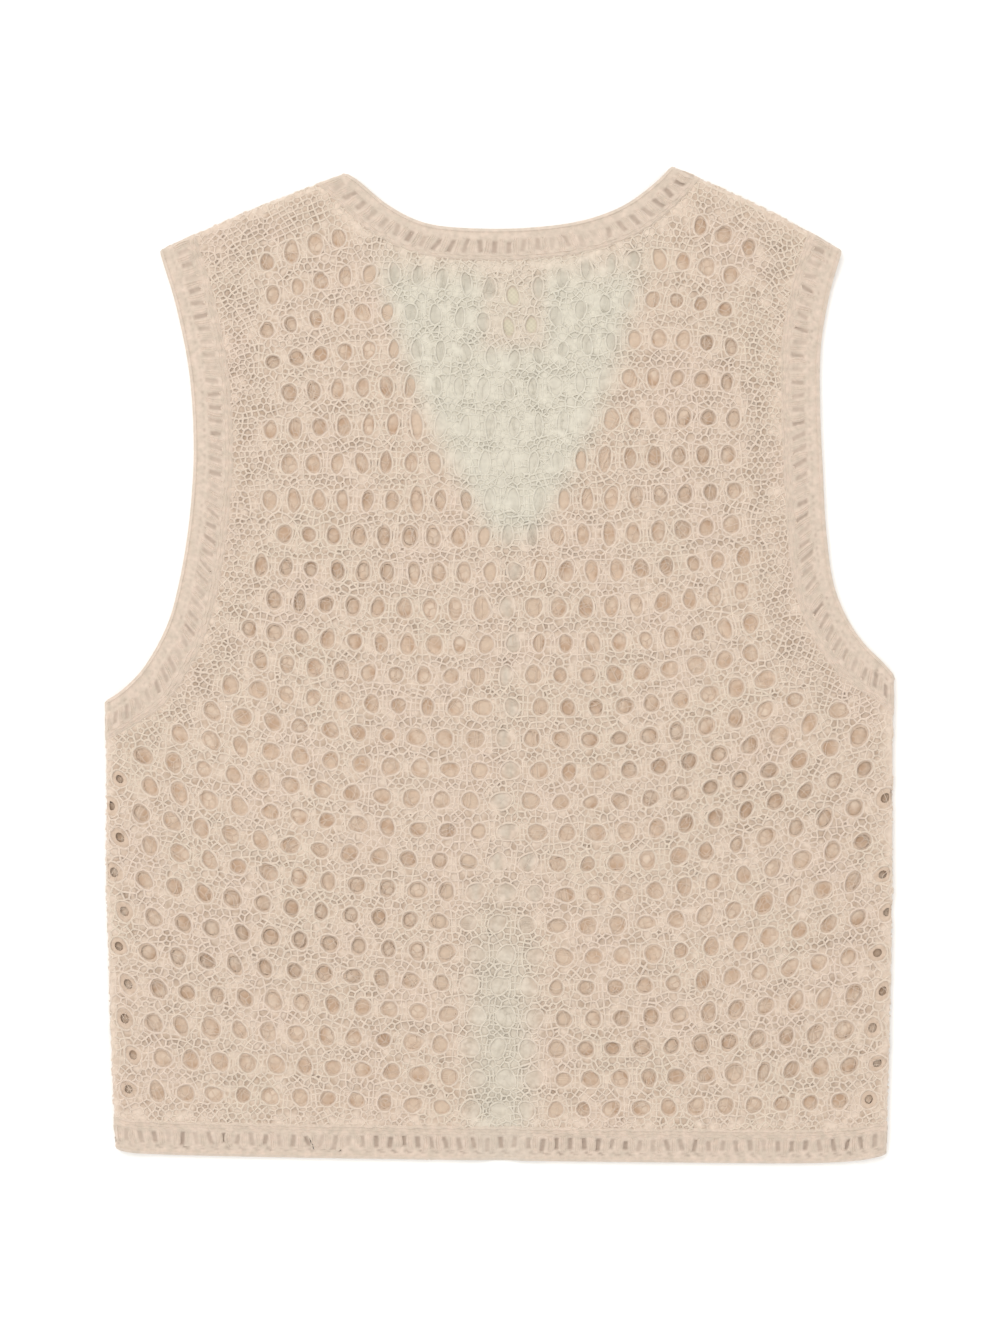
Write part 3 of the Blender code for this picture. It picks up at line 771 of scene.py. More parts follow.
# Near the middle line the yoke's eyelets are taller and narrower. That begins to fade
# at the first distance from the line, over the second
YOKE_MIDDLE = mm(55.0, 45.0)
TALL = 0.14  # by what share
NARROW = (0.08, 0.2)  # by what shares, there and over the fronts' opening
LEANT_NARROW = 0.04  # how much narrower an eyelet is that leans over,
LEANT_TALL = 0.12  # and how much taller
LEAN_PLAY = 0.05
EYELET_JITTER = 0.02  # of a stitch, from eyelet to eyelet
MOON_JITTER = 0.03
STITCHES = 17  # charted to each side of the middle
SPARE_ROWS = 4  # of small holes, past the last row
MOTIF_CLEAR = 2.0 * MM  # from a small hole to the others
RING_CLEAR = 1.2 * MM  # and to an eyelet's ring
RING_WAVE = 0.045  # of its size, how uneven an eyelet is
RING_PHASES = (2.4, 1.7)  # from one eyelet to the next
FRONT_SIZE = 0.7  # of the fronts' eyelets, so that none lies open under one of the back
print("small holes from one eyelet to the next:", SMALL_HOLES["back"][0])

# %% Where the holes lie


def nearest_gap(points, curve):
    """Distance from each point to the curve."""
    coarse = curve[::4]
    return np.linalg.norm(points[:, None] - coarse[None], axis=2).min(1)


def room_for_eyelet(points, layer, side):
    """Whether the cloth at each point is knitted with eyelets."""
    room = np.ones(len(points), bool)
    for this in SIDES:
        arm = ARMHOLE_BANDS[layer, this].line(1.0)
        above = points[:, 1] - UNDERARM_Y[this]
        room &= nearest_gap(points, arm) > np.interp(above, UNDERARM_RANGE, ARMHOLE_PLAIN)
        tip, _, inward, _, _ = shoulder_line(this)
        room &= (points - tip) @ inward > SHOULDER_PLAIN
    if layer == "back":
        room &= nearest_gap(points, BACK_NECK.line(1.0)) > NECK_PLAIN
        room &= nearest_gap(points, BACK_HEM.line(1.0)) > HEM_PLAIN
    else:
        room &= nearest_gap(points, FRONT_BANDS[side].line(1.0)) > NECK_PLAIN
        room &= nearest_gap(points, FRONT_HEMS[side].line(1.0)) > HEM_PLAIN
    return room


def lean_at(places):
    """How far an eyelet's top leans outward for each metre up. The cloth is drawn askew at the sides."""
    x, y = np.asarray(places).T
    outer = smooth_step((np.abs(x) - LEAN_START) / LEAN_RUN)
    lower = smooth_step((LEAN_TOP - y) / LEAN_FADE) * smooth_step((y - LEAN_BOTTOM) / LEAN_FADE)
    return np.sign(x) * LEAN * outer * lower


def leant(places, middles):
    """Places that lean over from the middle of their own eyelet."""
    places = places.copy()
    places[:, 0] += lean_at(middles) * (places[:, 1] - middles[:, 1])
    return places


def eyelets_of(layer, side, outline, rng):
    """Number across and row of each eyelet that has room."""
    slip, lag = LAYER_SLIP[layer]
    numbers = np.arange(-STITCHES, STITCHES + 1)
    eyelets = []
    for row in np.arange(1, LAST_ROW + 1) + lag:
        across = numbers + row_shift(row - lag) + slip + rng.normal(0.0, EYELET_JITTER, len(numbers))
        place = stitch_place(across, row)
        keep = room_for_eyelet(place, layer, side) & (depth_inside(place, outline) > -EDGE_SPARE)
        eyelets += [(number, row) for number in across[keep]]
    return np.array(eyelets)


def stands_between(eyelets, layer, rng):
    """Places of the long holes and of the raised cloth between each two eyelets of a row."""
    slip, lag = LAYER_SLIP[layer]
    known = {(round(number - row_shift(row - lag) - slip), row) for number, row in eyelets}
    slits, raised = [], []
    for number, row in sorted({(number + half, row) for number, row in known for half in (0, 1)}):
        middle = number - 0.5 + row_shift(row - lag) + slip
        between = stitch_place([middle], [row])
        for height in STAND_HEIGHTS:
            raised.append(leant(stitch_place([middle], [row + height]), between)[0])
        for offset in SLIT_PLACES:
            for height in SLIT_HEIGHTS:
                fan = SLIT_FAN if height else 1.0
                place = leant(stitch_place([middle + offset * fan], [row + height]), between)
                slits.append(place + rng.normal(0.0, SLIT_JITTER, (1, 2)))
    return np.vstack(slits), np.array(raised)


def small_holes(layer, outline, motif, rng):
    """Places of the small holes, clear of the motif of the larger ones."""
    each, lines = SMALL_HOLES[layer]
    across, row = np.meshgrid(
        np.arange(-STITCHES * each, STITCHES * each + 1) / each,
        0.5 + np.arange(-lines, (LAST_ROW + SPARE_ROWS) * lines) / lines,
    )
    across = across + np.where(np.arange(len(row))[:, None] % 2, 0.5 / each, 0.0)
    small = stitch_place(across.ravel(), row.ravel())
    small += rng.normal(0.0, SMALL_JITTER, small.shape)
    small = small[depth_inside(small, outline) > -EDGE_SPARE]
    return small[clear_of(small, motif, MOTIF_CLEAR)]


print("lean of the cloth at the right underarm:", lean_at([side_point("right", UNDERARM_Y["right"])]))

# %% Ovals of the eyelets


def eyelet_sizes(eyelets, rng):
    """Centres of the eyelets, and their ovals: half width, half height and lean."""
    number, row = eyelets.T
    centres = stitch_place(number, row)
    width = EYELET_HALF_WIDTH * row_value(row, PITCH) + EYELET_SPARE
    height = EYELET_HALF_HEIGHT * (row_value(row + 0.5, HEIGHT) - row_value(row - 0.5, HEIGHT))
    lean = lean_at(centres)
    width = width * (1 - LEANT_NARROW * np.abs(lean) / LEAN) * rng.normal(1.0, SIZE_PLAY, len(width))
    height = np.maximum(height, np.interp(row, YOKE_ROWS, LEAST_HEIGHT))
    height = height * (1 + LEANT_TALL * np.abs(lean) / LEAN)
    x, y = centres.T
    tall = 1 - smooth_step((np.abs(x) - YOKE_MIDDLE[0]) / YOKE_MIDDLE[1])
    tall *= np.interp(row, YOKE_ROWS, (0.0, 1.0))
    height = height * (1 + TALL * tall)
    width = width * (1 - NARROW[0] * tall - NARROW[1] * single_layer(x, y) * (y > 0))
    height = height * rng.normal(1.0, SIZE_PLAY, len(width))
    return centres, np.column_stack([width, height, lean + rng.normal(0.0, LEAN_PLAY, len(width))])


def wider(ovals, amount):
    """The same ovals, wider and higher by an amount."""
    return ovals + [amount, amount, 0.0]


def oval_shares(ways, ovals):
    """Ways from the middles of leaning ovals, in shares of their size."""
    across = (ways[..., 0] - ways[..., 1] * ovals[..., 2]) / ovals[..., 0]
    return np.stack([across, ways[..., 1] / ovals[..., 1]], -1)


def oval_ways(angles, reach, ovals):
    """The other way round: ways from the middles at these angles and shares of the size."""
    up = reach * np.sin(angles) * ovals[..., 1]
    return np.stack([reach * np.cos(angles) * ovals[..., 0] + up * ovals[..., 2], up], -1)


def ring_reach(angles, which):
    """How far the yarn round an eyelet lies out, in shares of its size. No two are alike."""
    oval, corners = (phase * which for phase in RING_PHASES)
    return 1 + RING_WAVE * (np.sin(2 * angles + oval) + np.sin(3 * angles + corners))


def clear_of(points, others, distance):
    """Whether each point keeps a distance from all the others, found square by square."""
    cells = {}
    for x, y in others:
        cells.setdefault((int(x // distance), int(y // distance)), []).append((x, y))
    keep = np.ones(len(points), bool)
    for index, (x, y) in enumerate(points):
        column, line = int(x // distance), int(y // distance)
        for i in (-1, 0, 1):
            for j in (-1, 0, 1):
                for ox, oy in cells.get((column + i, line + j), ()):
                    if (x - ox) ** 2 + (y - oy) ** 2 < distance**2:
                        keep[index] = False
    return keep


def outside_eyelets(points, centres, sizes):
    """Whether each point lies outside all the eyelets' ovals."""
    keep = np.ones(len(points), bool)
    for first in range(0, len(points), BLOCK):
        part = points[first : first + BLOCK, None]
        share = oval_shares(part - centres, sizes) ** 2
        keep[first : first + BLOCK] = (share.sum(-1) > 1).all(1)
    return keep


print("an eyelet is about", round(2 * EYELET_HALF_WIDTH * row_value(12, PITCH) / MM, 1), "mm wide")

# %% The chart of a panel


def chart_holes(layer, side, outline, rng):
    """Places and kinds of all the holes, the eyelets' ovals, and the stands between them."""
    eyelets = eyelets_of(layer, side, outline, rng)
    places = [stitch_place(*eyelets.T)]
    for turn in (-1, 1):
        sway = rng.normal(0.0, MOON_JITTER, len(eyelets))
        moons = stitch_place(eyelets[:, 0] + sway, eyelets[:, 1] + turn * MOON_PLACE)
        places.append(leant(moons, places[0]))
    slits, raised = stands_between(eyelets, layer, rng)
    motif = np.vstack([*places, slits])
    small = small_holes(layer, outline, motif, rng)
    centres, sizes = eyelet_sizes(eyelets, rng)
    if layer == "front":
        sizes = sizes * [FRONT_SIZE, FRONT_SIZE, 1.0]
    small = small[outside_eyelets(small, centres, wider(sizes, RING_CLEAR))]
    places = np.vstack([motif, small])
    counts = (len(eyelets), 2 * len(eyelets), len(slits), len(small))
    return places, np.repeat((EYELET, MOON, SLIT, SMALL), counts), centres, sizes, raised


print("kinds of hole: eyelet, moon, slit and small, 0 to 3:", EYELET, MOON, SLIT, SMALL)

# %% [markdown]
# ## From holes to yarn
#
# Each crossing joins three strands. A strand runs on through a crossing in its
# straightest direction, so that one piece of yarn is as long as it can be, and the
# third strand ends on it. Round an eyelet the crossings are drawn out onto its oval.

# %% Net of crossings and strands


def crossings_of(places, kinds, centres, sizes):
    """The three holes round each crossing of the yarn, and where it lies between them."""
    found = geometry.delaunay_2d_cdt([Vector(place) for place in places], [], [], 0, 1e-9)
    order = np.array([origin[0] for origin in found[3]])
    corners = order[np.array([face for face in found[2] if len(face) == 3])]
    a, b, c = (places[corners[:, k]] for k in range(3))
    ab, ac = b - a, c - a
    double = 2 * (ab[:, 0] * ac[:, 1] - ab[:, 1] * ac[:, 0])
    ab2, ac2 = (ab**2).sum(1), (ac**2).sum(1)
    crossings = a + np.column_stack(
        [(ac[:, 1] * ab2 - ab[:, 1] * ac2) / double, (ab[:, 0] * ac2 - ac[:, 0] * ab2) / double]
    )
    # Draw the crossings round an eyelet out onto its oval
    for k in range(3):
        at_eyelet = np.flatnonzero(kinds[corners[:, k]] == EYELET)
        which = corners[at_eyelet, k]
        way = oval_shares(crossings[at_eyelet] - centres[which], sizes[which])
        angle = np.arctan2(way[:, 1], way[:, 0])
        crossings[at_eyelet] = centres[which] + oval_ways(angle, ring_reach(angle, which), sizes[which])
    return corners, crossings


def net_of(places, kinds, centres, sizes):
    """Crossings of the yarn, and the strands between them with their kinds and eyelets."""
    corners, crossings = crossings_of(places, kinds, centres, sizes)
    sides = np.sort(np.vstack([corners[:, [0, 1]], corners[:, [1, 2]], corners[:, [2, 0]]]), axis=1)
    crossing = np.tile(np.arange(len(corners)), 3)
    order = np.lexsort((crossing, sides[:, 1], sides[:, 0]))
    sides, crossing = sides[order], crossing[order]
    twin = np.flatnonzero((sides[1:] == sides[:-1]).all(1))
    pairs = np.column_stack([crossing[twin], crossing[twin + 1]])
    holes = sides[twin]
    at_eyelet = kinds[holes] == EYELET
    owners = np.where(at_eyelet.any(1), np.where(at_eyelet[:, 0], holes[:, 0], holes[:, 1]), -1)
    both = np.sort(kinds[holes], axis=1)
    strand_kinds = np.where(both[:, 0] == EYELET, EYELET, SMALL)
    strand_kinds = np.where((both[:, 0] == SLIT) & (both[:, 1] == SLIT), SLIT, strand_kinds)
    return merged(crossings, pairs, strand_kinds, owners)


print("kinds of strand, round an eyelet, between two and in the net:", EYELET, SLIT, SMALL)

# %% A net with round eyelets
MERGE_LENGTH = 1.0 * MM  # crossings closer than this become one
RING_TURN = math.radians(31)  # between two points round an eyelet, at most


def merged(crossings, pairs, kinds, owners):
    """Joins crossings that nearly touch, and drops the strands between them."""
    parent = np.arange(len(crossings))

    def root(index):
        while parent[index] != index:
            parent[index] = parent[parent[index]]
            index = parent[index]
        return index

    gaps = np.linalg.norm(crossings[pairs[:, 0]] - crossings[pairs[:, 1]], axis=1)
    for a, b in pairs[gaps < MERGE_LENGTH]:
        parent[root(a)] = root(b)
    roots = np.array([root(index) for index in range(len(crossings))])
    count = np.bincount(roots, minlength=len(crossings)).astype(float)
    middle = np.column_stack(
        [np.bincount(roots, crossings[:, k], len(crossings)) / np.maximum(count, 1) for k in (0, 1)]
    )
    pairs = np.sort(roots[pairs], axis=1)
    keep = pairs[:, 0] != pairs[:, 1]
    pairs, kinds, owners = pairs[keep], kinds[keep], owners[keep]
    _, first = np.unique(pairs, axis=0, return_index=True)
    return middle, pairs[first], kinds[first], owners[first]


def relaxed(crossings, pairs, kinds, amount):
    """Draws each free crossing towards its neighbours, as pulled yarn would."""
    total = np.zeros_like(crossings)
    count = np.zeros(len(crossings))
    for a, b in ((0, 1), (1, 0)):
        np.add.at(total, pairs[:, a], crossings[pairs[:, b]])
        np.add.at(count, pairs[:, a], 1)
    held = np.zeros(len(crossings), bool)
    held[pairs[kinds == EYELET]] = True
    middle = total / np.maximum(count, 1)[:, None]
    pull = np.where(held | (count < 2), 0.0, amount)[:, None]
    return crossings + (middle - crossings) * pull


def rounded(crossings, pairs, kinds, owners, centres, sizes):
    """Adds crossings on the oval of each eyelet, so that the strands round it are round."""
    new_points, new_pairs, new_kinds = [], [], []
    for (a, b), kind, owner in zip(pairs, kinds, owners):
        if owner < 0:
            new_pairs.append((a, b))
            new_kinds.append(kind)
            continue
        ways = oval_shares(crossings[[a, b]] - centres[owner], sizes[owner])
        start, end = np.arctan2(ways[:, 1], ways[:, 0])
        turn = (end - start + math.pi) % (2 * math.pi) - math.pi
        count = max(1, math.ceil(abs(turn) / RING_TURN))
        chain = [a]
        for k in range(1, count):
            angle = start + turn * k / count
            point = centres[owner] + oval_ways(angle, ring_reach(angle, owner), sizes[owner])
            chain.append(len(crossings) + len(new_points))
            new_points.append(point)
        chain.append(b)
        new_pairs += list(zip(chain, chain[1:]))
        new_kinds += [kind] * count
    return np.vstack([crossings, new_points]), np.array(new_pairs), np.array(new_kinds)


print("a strand turns at most", round(math.degrees(RING_TURN)), "degrees round an eyelet")

# %% Long strands
STRAIGHT_ON = -0.2  # cosine between two strands that may run on into each other, at most
OTHER_KIND = 1.2  # what is added to it where their kinds differ


def cut_to(outline, crossings, pairs, kinds):
    """Cuts the net at the outline. New ends are added where a strand crosses it."""
    depth = depth_inside(crossings, outline)
    first, last = depth[pairs[:, 0]], depth[pairs[:, 1]]
    whole = (first > 0) & (last > 0)
    crossing = (first > 0) != (last > 0)
    share = first[crossing] / (first[crossing] - last[crossing])
    start = crossings[pairs[crossing, 0]]
    span = crossings[pairs[crossing, 1]] - start
    ends = start + span * share[:, None]
    inner = np.where(first[crossing] > 0, pairs[crossing, 0], pairs[crossing, 1])
    new = len(crossings) + np.arange(len(ends))
    pairs_out = np.vstack([pairs[whole], np.column_stack([inner, new])])
    kinds_out = np.concatenate([kinds[whole], kinds[crossing]])
    return np.vstack([crossings, ends]), pairs_out, kinds_out


def runs_on(crossings, pairs, kinds):
    """Which strand each strand runs on into, at each of its crossings."""
    at = {}
    for index, (a, b) in enumerate(pairs):
        at.setdefault(a, []).append(index)
        at.setdefault(b, []).append(index)
    after = {}
    for node, edges in at.items():
        ways = []
        for edge in edges:
            other = pairs[edge][0] if pairs[edge][1] == node else pairs[edge][1]
            way = crossings[other] - crossings[node]
            ways.append(way / max(float(np.hypot(*way)), 1e-9))
        options = []
        for i in range(len(edges)):
            for j in range(i):
                bend = float(ways[i] @ ways[j])
                bend += OTHER_KIND if kinds[edges[i]] != kinds[edges[j]] else 0.0
                options.append((bend, i, j))
        taken = set()
        for bend, i, j in sorted(options):
            if i in taken or j in taken or bend > STRAIGHT_ON:
                continue
            taken |= {i, j}
            after[node, edges[i]] = edges[j]
            after[node, edges[j]] = edges[i]
    return after


def strands_of(crossings, pairs, kinds):
    """Long strands, each a list of crossings, with their kinds and whether they close."""
    after = runs_on(crossings, pairs, kinds)
    used = np.zeros(len(pairs), bool)
    strands = []
    for seed in range(len(pairs)):
        if used[seed]:
            continue
        used[seed] = True
        path = [pairs[seed][0], pairs[seed][1]]
        closed = False
        for turn in (1, 0):
            node, edge = path[-1], seed
            while True:
                edge = after.get((node, edge))
                if edge is None or used[edge]:
                    closed = closed or (edge == seed)
                    break
                used[edge] = True
                node = pairs[edge][0] if pairs[edge][1] == node else pairs[edge][1]
                path.append(node)
            if turn:
                path.reverse()
        strands.append((path, int(kinds[seed]), closed and path[0] == path[-1]))
    return strands


print("strands run on where they meet at over", round(math.degrees(math.acos(STRAIGHT_ON))), "degrees")

# %% [markdown]
# ## Drawing yarn
#
# Yarn is drawn as curves with a round section. One curve object holds all the strands
# of a piece, each a plain spline with a thickness at each point, and the Convert
# operator turns them into one mesh. Tubes of four sides with smooth shading are
# enough for strands a millimetre thick, and keep each piece light.

# %% Drawing yarn
YARN = 1.0 * MM  # radius that a point radius of 1 stands for


def select_only(piece):
    """Operators act on all that is selected, so everything else is deselected first."""
    bpy.ops.object.select_all(action="DESELECT")
    piece.select_set(True)
    bpy.context.view_layer.objects.active = piece


def mark(piece, name, values):
    """Writes a value at each point of the mesh, for the material to read."""
    attributes = piece.data.attributes
    if name in attributes:
        attributes.remove(attributes[name])
    attributes.new(name, "FLOAT", "POINT").data.foreach_set("value", np.asarray(values, np.float32))


def settled(piece, back):
    """Flattens what would lie under the ground, and marks where the back has no front under it, for
    painted light from below.
    """
    count = len(piece.data.vertices)
    place = np.empty(3 * count)
    piece.data.vertices.foreach_get("co", place)
    place = place.reshape(-1, 3)
    place[:, 2] = np.maximum(place[:, 2], 0.0)
    piece.data.vertices.foreach_set("co", place.ravel())
    mark(piece, "single_layer", single_layer(place[:, 0], place[:, 1]) * back)
    piece.data.update()


def triangle_count(piece):
    return sum(len(face.vertices) - 2 for face in piece.data.polygons)


def drawn_yarn(name, strands, material, back=True):
    """One mesh piece of all the strands: (points, radii, closed) each."""
    curve = bpy.data.curves.new(name, "CURVE")
    curve.dimensions = "3D"
    curve.bevel_depth = YARN
    curve.bevel_resolution = 0
    curve.use_fill_caps = True
    for points, radii, closed in strands:
        spline = curve.splines.new("POLY")
        spline.points.add(len(points) - 1)
        spline.points.foreach_set("co", np.column_stack([points, np.ones(len(points))]).ravel())
        spline.points.foreach_set("radius", np.asarray(radii, float) / YARN)
        spline.use_cyclic_u = bool(closed)
    piece = bpy.data.objects.new(name, curve)
    bpy.context.scene.collection.objects.link(piece)
    select_only(piece)
    bpy.ops.object.convert(target="MESH")
    piece = bpy.context.view_layer.objects.active
    piece.name = piece.data.name = name
    bpy.ops.object.shade_smooth()
    piece.data.materials.clear()
    piece.data.materials.append(material)
    settled(piece, back)
    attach(piece, "root")
    print(name, "strands:", len(strands), "triangles:", triangle_count(piece))
    return piece


print("a point radius of 1 draws a strand of", 2 * YARN / MM, "mm")

# %% [markdown]
# ## The finish of the yarn
#
# Brushed yarn is matt and a little fuzzy, with a soft edge to each strand and slight changes of tone along
# it. The node group gives the tone, from two soft colours mixed by large and small noise, and a fine fibre
# height for a Bump node. It is used by each piece with its own colours. Where the back has no front under
# it, the pale ground shines through the thin cloth: each point of the mesh carries a mark for that, and
# the tone there is a little greyer, as painted light from below. A second mark gives places of another
# tone: the ground's painted shade gives way to the strands' tone where fibre fills it, and a band's slits
# are darker with painted shade. Further marks give painted shade at the eyelets' rims, on the bands down
# the fronts and in the veiled eyelets.

# %% Shader nodes
FLECKS = 420.0  # each metre
FIBRES = 2600.0


def node_group(name, inputs, outputs):
    """An empty shader node group with these sockets."""
    group = bpy.data.node_groups.new(name, "ShaderNodeTree")
    for label, kind, value in inputs:
        socket = group.interface.new_socket(label, in_out="INPUT", socket_type=kind)
        socket.default_value = value
    for label, kind in outputs:
        group.interface.new_socket(label, in_out="OUTPUT", socket_type=kind)
    return group


def add_node(nodes, kind, values=None, **settings):
    """A shader node with these settings, and these values on its sockets."""
    node = nodes.new("ShaderNode" + kind)
    for name, setting in settings.items():
        setattr(node, name, setting)
    for socket, value in (values or {}).items():
        node.inputs[socket].default_value = value
    return node


def add_relief(material, height, strength, depth):
    """Gives a material's surface fine relief."""
    nodes, links = material.node_tree.nodes, material.node_tree.links
    bump = add_node(nodes, "Bump", {"Strength": strength, "Distance": depth})
    links.new(height, bump.inputs["Height"])
    links.new(bump.outputs["Normal"], nodes["Principled BSDF"].inputs["Normal"])


print("fibres are", round(1000 / FIBRES, 2), "mm apart")

# %% Brushed yarn


def brushed_yarn_group():
    group = node_group(
        "brushed_yarn",
        (
            ("Warm tone", "NodeSocketColor", (0.80, 0.64, 0.52, 1.0)),
            ("Cool tone", "NodeSocketColor", (0.76, 0.66, 0.51, 1.0)),
            ("Second tone", "NodeSocketColor", (0.67, 0.54, 0.44, 1.0)),
            ("Painted shade tone", "NodeSocketColor", (0.62, 0.47, 0.35, 1.0)),
            ("Lit tone", "NodeSocketColor", (0.58, 0.53, 0.44, 1.0)),
            ("Lit second tone", "NodeSocketColor", (0.63, 0.58, 0.48, 1.0)),
            ("Veil and shade tone", "NodeSocketColor", (0.50, 0.47, 0.40, 1.0)),
            ("Patches each metre", "NodeSocketFloat", 24.0),
            ("Fibre size", "NodeSocketFloat", 1.0),
        ),
        (("Colour", "NodeSocketColor"), ("Fibre height", "NodeSocketFloat")),
    )
    nodes, links = group.nodes, group.links
    inputs = nodes.new("NodeGroupInput").outputs
    outputs = nodes.new("NodeGroupOutput").inputs
    place = add_node(nodes, "TexCoord")
    patches = add_node(nodes, "TexNoise", {"Detail": 3.0})
    flecks = add_node(nodes, "TexNoise", {"Scale": FLECKS, "Detail": 2.0})
    fibres = add_node(nodes, "TexNoise", {"Detail": 3.0, "Roughness": 0.7})
    size = add_node(nodes, "Math", {1: FIBRES}, operation="MULTIPLY")
    tone = add_node(nodes, "MapRange", {"From Min": 0.36, "From Max": 0.64})
    shade = add_node(
        nodes, "MapRange", {"From Min": 0.3, "From Max": 0.7, "To Min": 0.93, "To Max": 1.05}
    )
    scaled = add_node(nodes, "VectorMath", operation="SCALE")
    for texture in (patches, flecks, fibres):
        links.new(place.outputs["Object"], texture.inputs["Vector"])
    links.new(inputs["Patches each metre"], patches.inputs["Scale"])
    links.new(inputs["Fibre size"], size.inputs[0])
    links.new(size.outputs[0], fibres.inputs["Scale"])
    links.new(patches.outputs["Fac"], tone.inputs["Value"])
    links.new(flecks.outputs["Fac"], shade.inputs["Value"])

    def mixed(share, plain, other):
        mix = add_node(nodes, "Mix", data_type="RGBA")
        links.new(share, mix.inputs["Factor"])
        links.new(plain, mix.inputs["A"])
        links.new(other, mix.inputs["B"])
        return mix.outputs["Result"]

    def marked(name, plain, other):
        """The plain tone, and the other one where the mesh is marked."""
        share = add_node(nodes, "Attribute", attribute_name=name)
        return mixed(share.outputs["Fac"], plain, other)

    colour = mixed(tone.outputs["Result"], inputs["Warm tone"], inputs["Cool tone"])
    colour = marked("second_tone", colour, inputs["Second tone"])
    # Painted shade at the eyelets' rims and on the bands down the fronts
    colour = marked("painted_shade", colour, inputs["Painted shade tone"])
    # Painted light from below, where the back lies alone
    lit = marked("second_tone", inputs["Lit tone"], inputs["Lit second tone"])
    colour = marked("single_layer", colour, lit)
    # Veiled eyelets: a fibre veil whose greyer tone is painted shade of the floor under it
    links.new(marked("veiled", colour, inputs["Veil and shade tone"]), scaled.inputs[0])
    links.new(shade.outputs["Result"], scaled.inputs["Scale"])
    links.new(scaled.outputs["Vector"], outputs["Colour"])
    links.new(fibres.outputs["Fac"], outputs["Fibre height"])
    return group


BRUSHED_YARN = brushed_yarn_group()


def yarn_material(name, tones, fibre_size=1.0, patches=24.0):
    """A matt fuzzy yarn in two close tones, with others where its mesh is marked for them, for painted
    light and painted shade.
    """
    material = bpy.data.materials.new(name)
    material.use_nodes = True
    nodes, links = material.node_tree.nodes, material.node_tree.links
    shader = nodes["Principled BSDF"]
    values = {"Patches each metre": patches, "Fibre size": fibre_size}
    values.update({label: (*tone, 1.0) for label, tone in tones.items()})
    yarn = add_node(nodes, "Group", node_tree=BRUSHED_YARN)
    for label, value in values.items():
        yarn.inputs[label].default_value = value
    shader.inputs["Roughness"].default_value = 0.95
    shader.inputs["Specular IOR Level"].default_value = 0.1
    shader.inputs["Sheen Weight"].default_value = 0.35
    shader.inputs["Sheen Roughness"].default_value = 0.6
    links.new(yarn.outputs["Colour"], shader.inputs["Base Color"])
    add_relief(material, yarn.outputs["Fibre height"], 0.5, 0.25 * MM)
    return material


print("sockets of the yarn:", ", ".join(BRUSHED_YARN.interface.items_tree.keys()))

# %% Yarns of this top
NET_TONE = (0.672, 0.546, 0.445)
# painted light from below, where the back lies alone: a greyer tone
NET_LIT = (0.63, 0.583, 0.483)
NET_YARN = yarn_material(
    "net_yarn", {"Warm tone": NET_TONE, "Cool tone": (0.658, 0.55, 0.44), "Lit tone": NET_LIT}
)
# The ground's tones are darker than the strands' as painted shade between them; where it rises it takes
# the strands' tone
GROUND_YARN = yarn_material(
    "ground_yarn",
    {
        "Warm tone": (0.48, 0.365, 0.275),
        "Cool tone": (0.615, 0.505, 0.41),
        "Second tone": NET_TONE,
        "Painted shade tone": (0.57, 0.435, 0.33),
        "Lit tone": (0.585, 0.54, 0.447),
        "Lit second tone": NET_LIT,
        "Veil and shade tone": (0.49, 0.45, 0.37),
    },
    0.6,
    210.0,
)
# The fronts lie in the back's shade, and their yarn has painted shade: a darker, warmer copy of the back's
# yarn
FRONT_SHADE_TONE = (0.58, 0.45, 0.34)
FRONT_YARN = yarn_material("front_yarn", {"Warm tone": FRONT_SHADE_TONE, "Cool tone": (0.55, 0.41, 0.305)})
# The fronts' ground has painted shade too, darker still
FRONT_GROUND = yarn_material(
    "front_ground",
    {"Warm tone": (0.46, 0.315, 0.215), "Cool tone": (0.62, 0.495, 0.385), "Second tone": FRONT_SHADE_TONE},
    0.6,
    120.0,
)
# Painted shade in the slits and dents of the bands
SLIT_SHADE_TONE = (0.40, 0.31, 0.247)
BAND_YARN = yarn_material(
    "band_yarn",
    {
        "Warm tone": (0.63, 0.508, 0.414),
        "Cool tone": (0.55, 0.456, 0.366),
        "Second tone": SLIT_SHADE_TONE,
        "Painted shade tone": FRONT_SHADE_TONE,
        "Lit tone": (0.575, 0.49, 0.402),
        "Lit second tone": SLIT_SHADE_TONE,
    },
    1.0,
    230.0,
)
print("yarns:", NET_YARN.name, GROUND_YARN.name, FRONT_YARN.name, FRONT_GROUND.name, BAND_YARN.name)

# %% [markdown]
# ## The finish of the label
#
# The label is a smooth woven tape. Two sine waves, one along each thread direction, give
# the over and under of a plain weave, both for a fine relief and for a slight change of
# tone.

# %% Woven tape


def woven_group():
    """Height of a fine plain weave, over and under."""
    group = node_group(
        "plain_weave",
        (("Threads each metre", "NodeSocketFloat", 2600.0),),
        (("Height", "NodeSocketFloat"),),
    )
    nodes, links = group.nodes, group.links
    inputs = nodes.new("NodeGroupInput").outputs
    outputs = nodes.new("NodeGroupOutput").inputs
    place = add_node(nodes, "TexCoord")
    axes = add_node(nodes, "SeparateXYZ")
    product = add_node(nodes, "Math", operation="MULTIPLY")
    links.new(place.outputs["Object"], axes.inputs["Vector"])
    for index, axis in enumerate("XY"):
        scaled = add_node(nodes, "Math", operation="MULTIPLY")
        wave = add_node(nodes, "Math", operation="SINE")
        links.new(axes.outputs[axis], scaled.inputs[0])
        links.new(inputs["Threads each metre"], scaled.inputs[1])
        links.new(scaled.outputs[0], wave.inputs[0])
        links.new(wave.outputs[0], product.inputs[index])
    links.new(product.outputs[0], outputs["Height"])
    return group


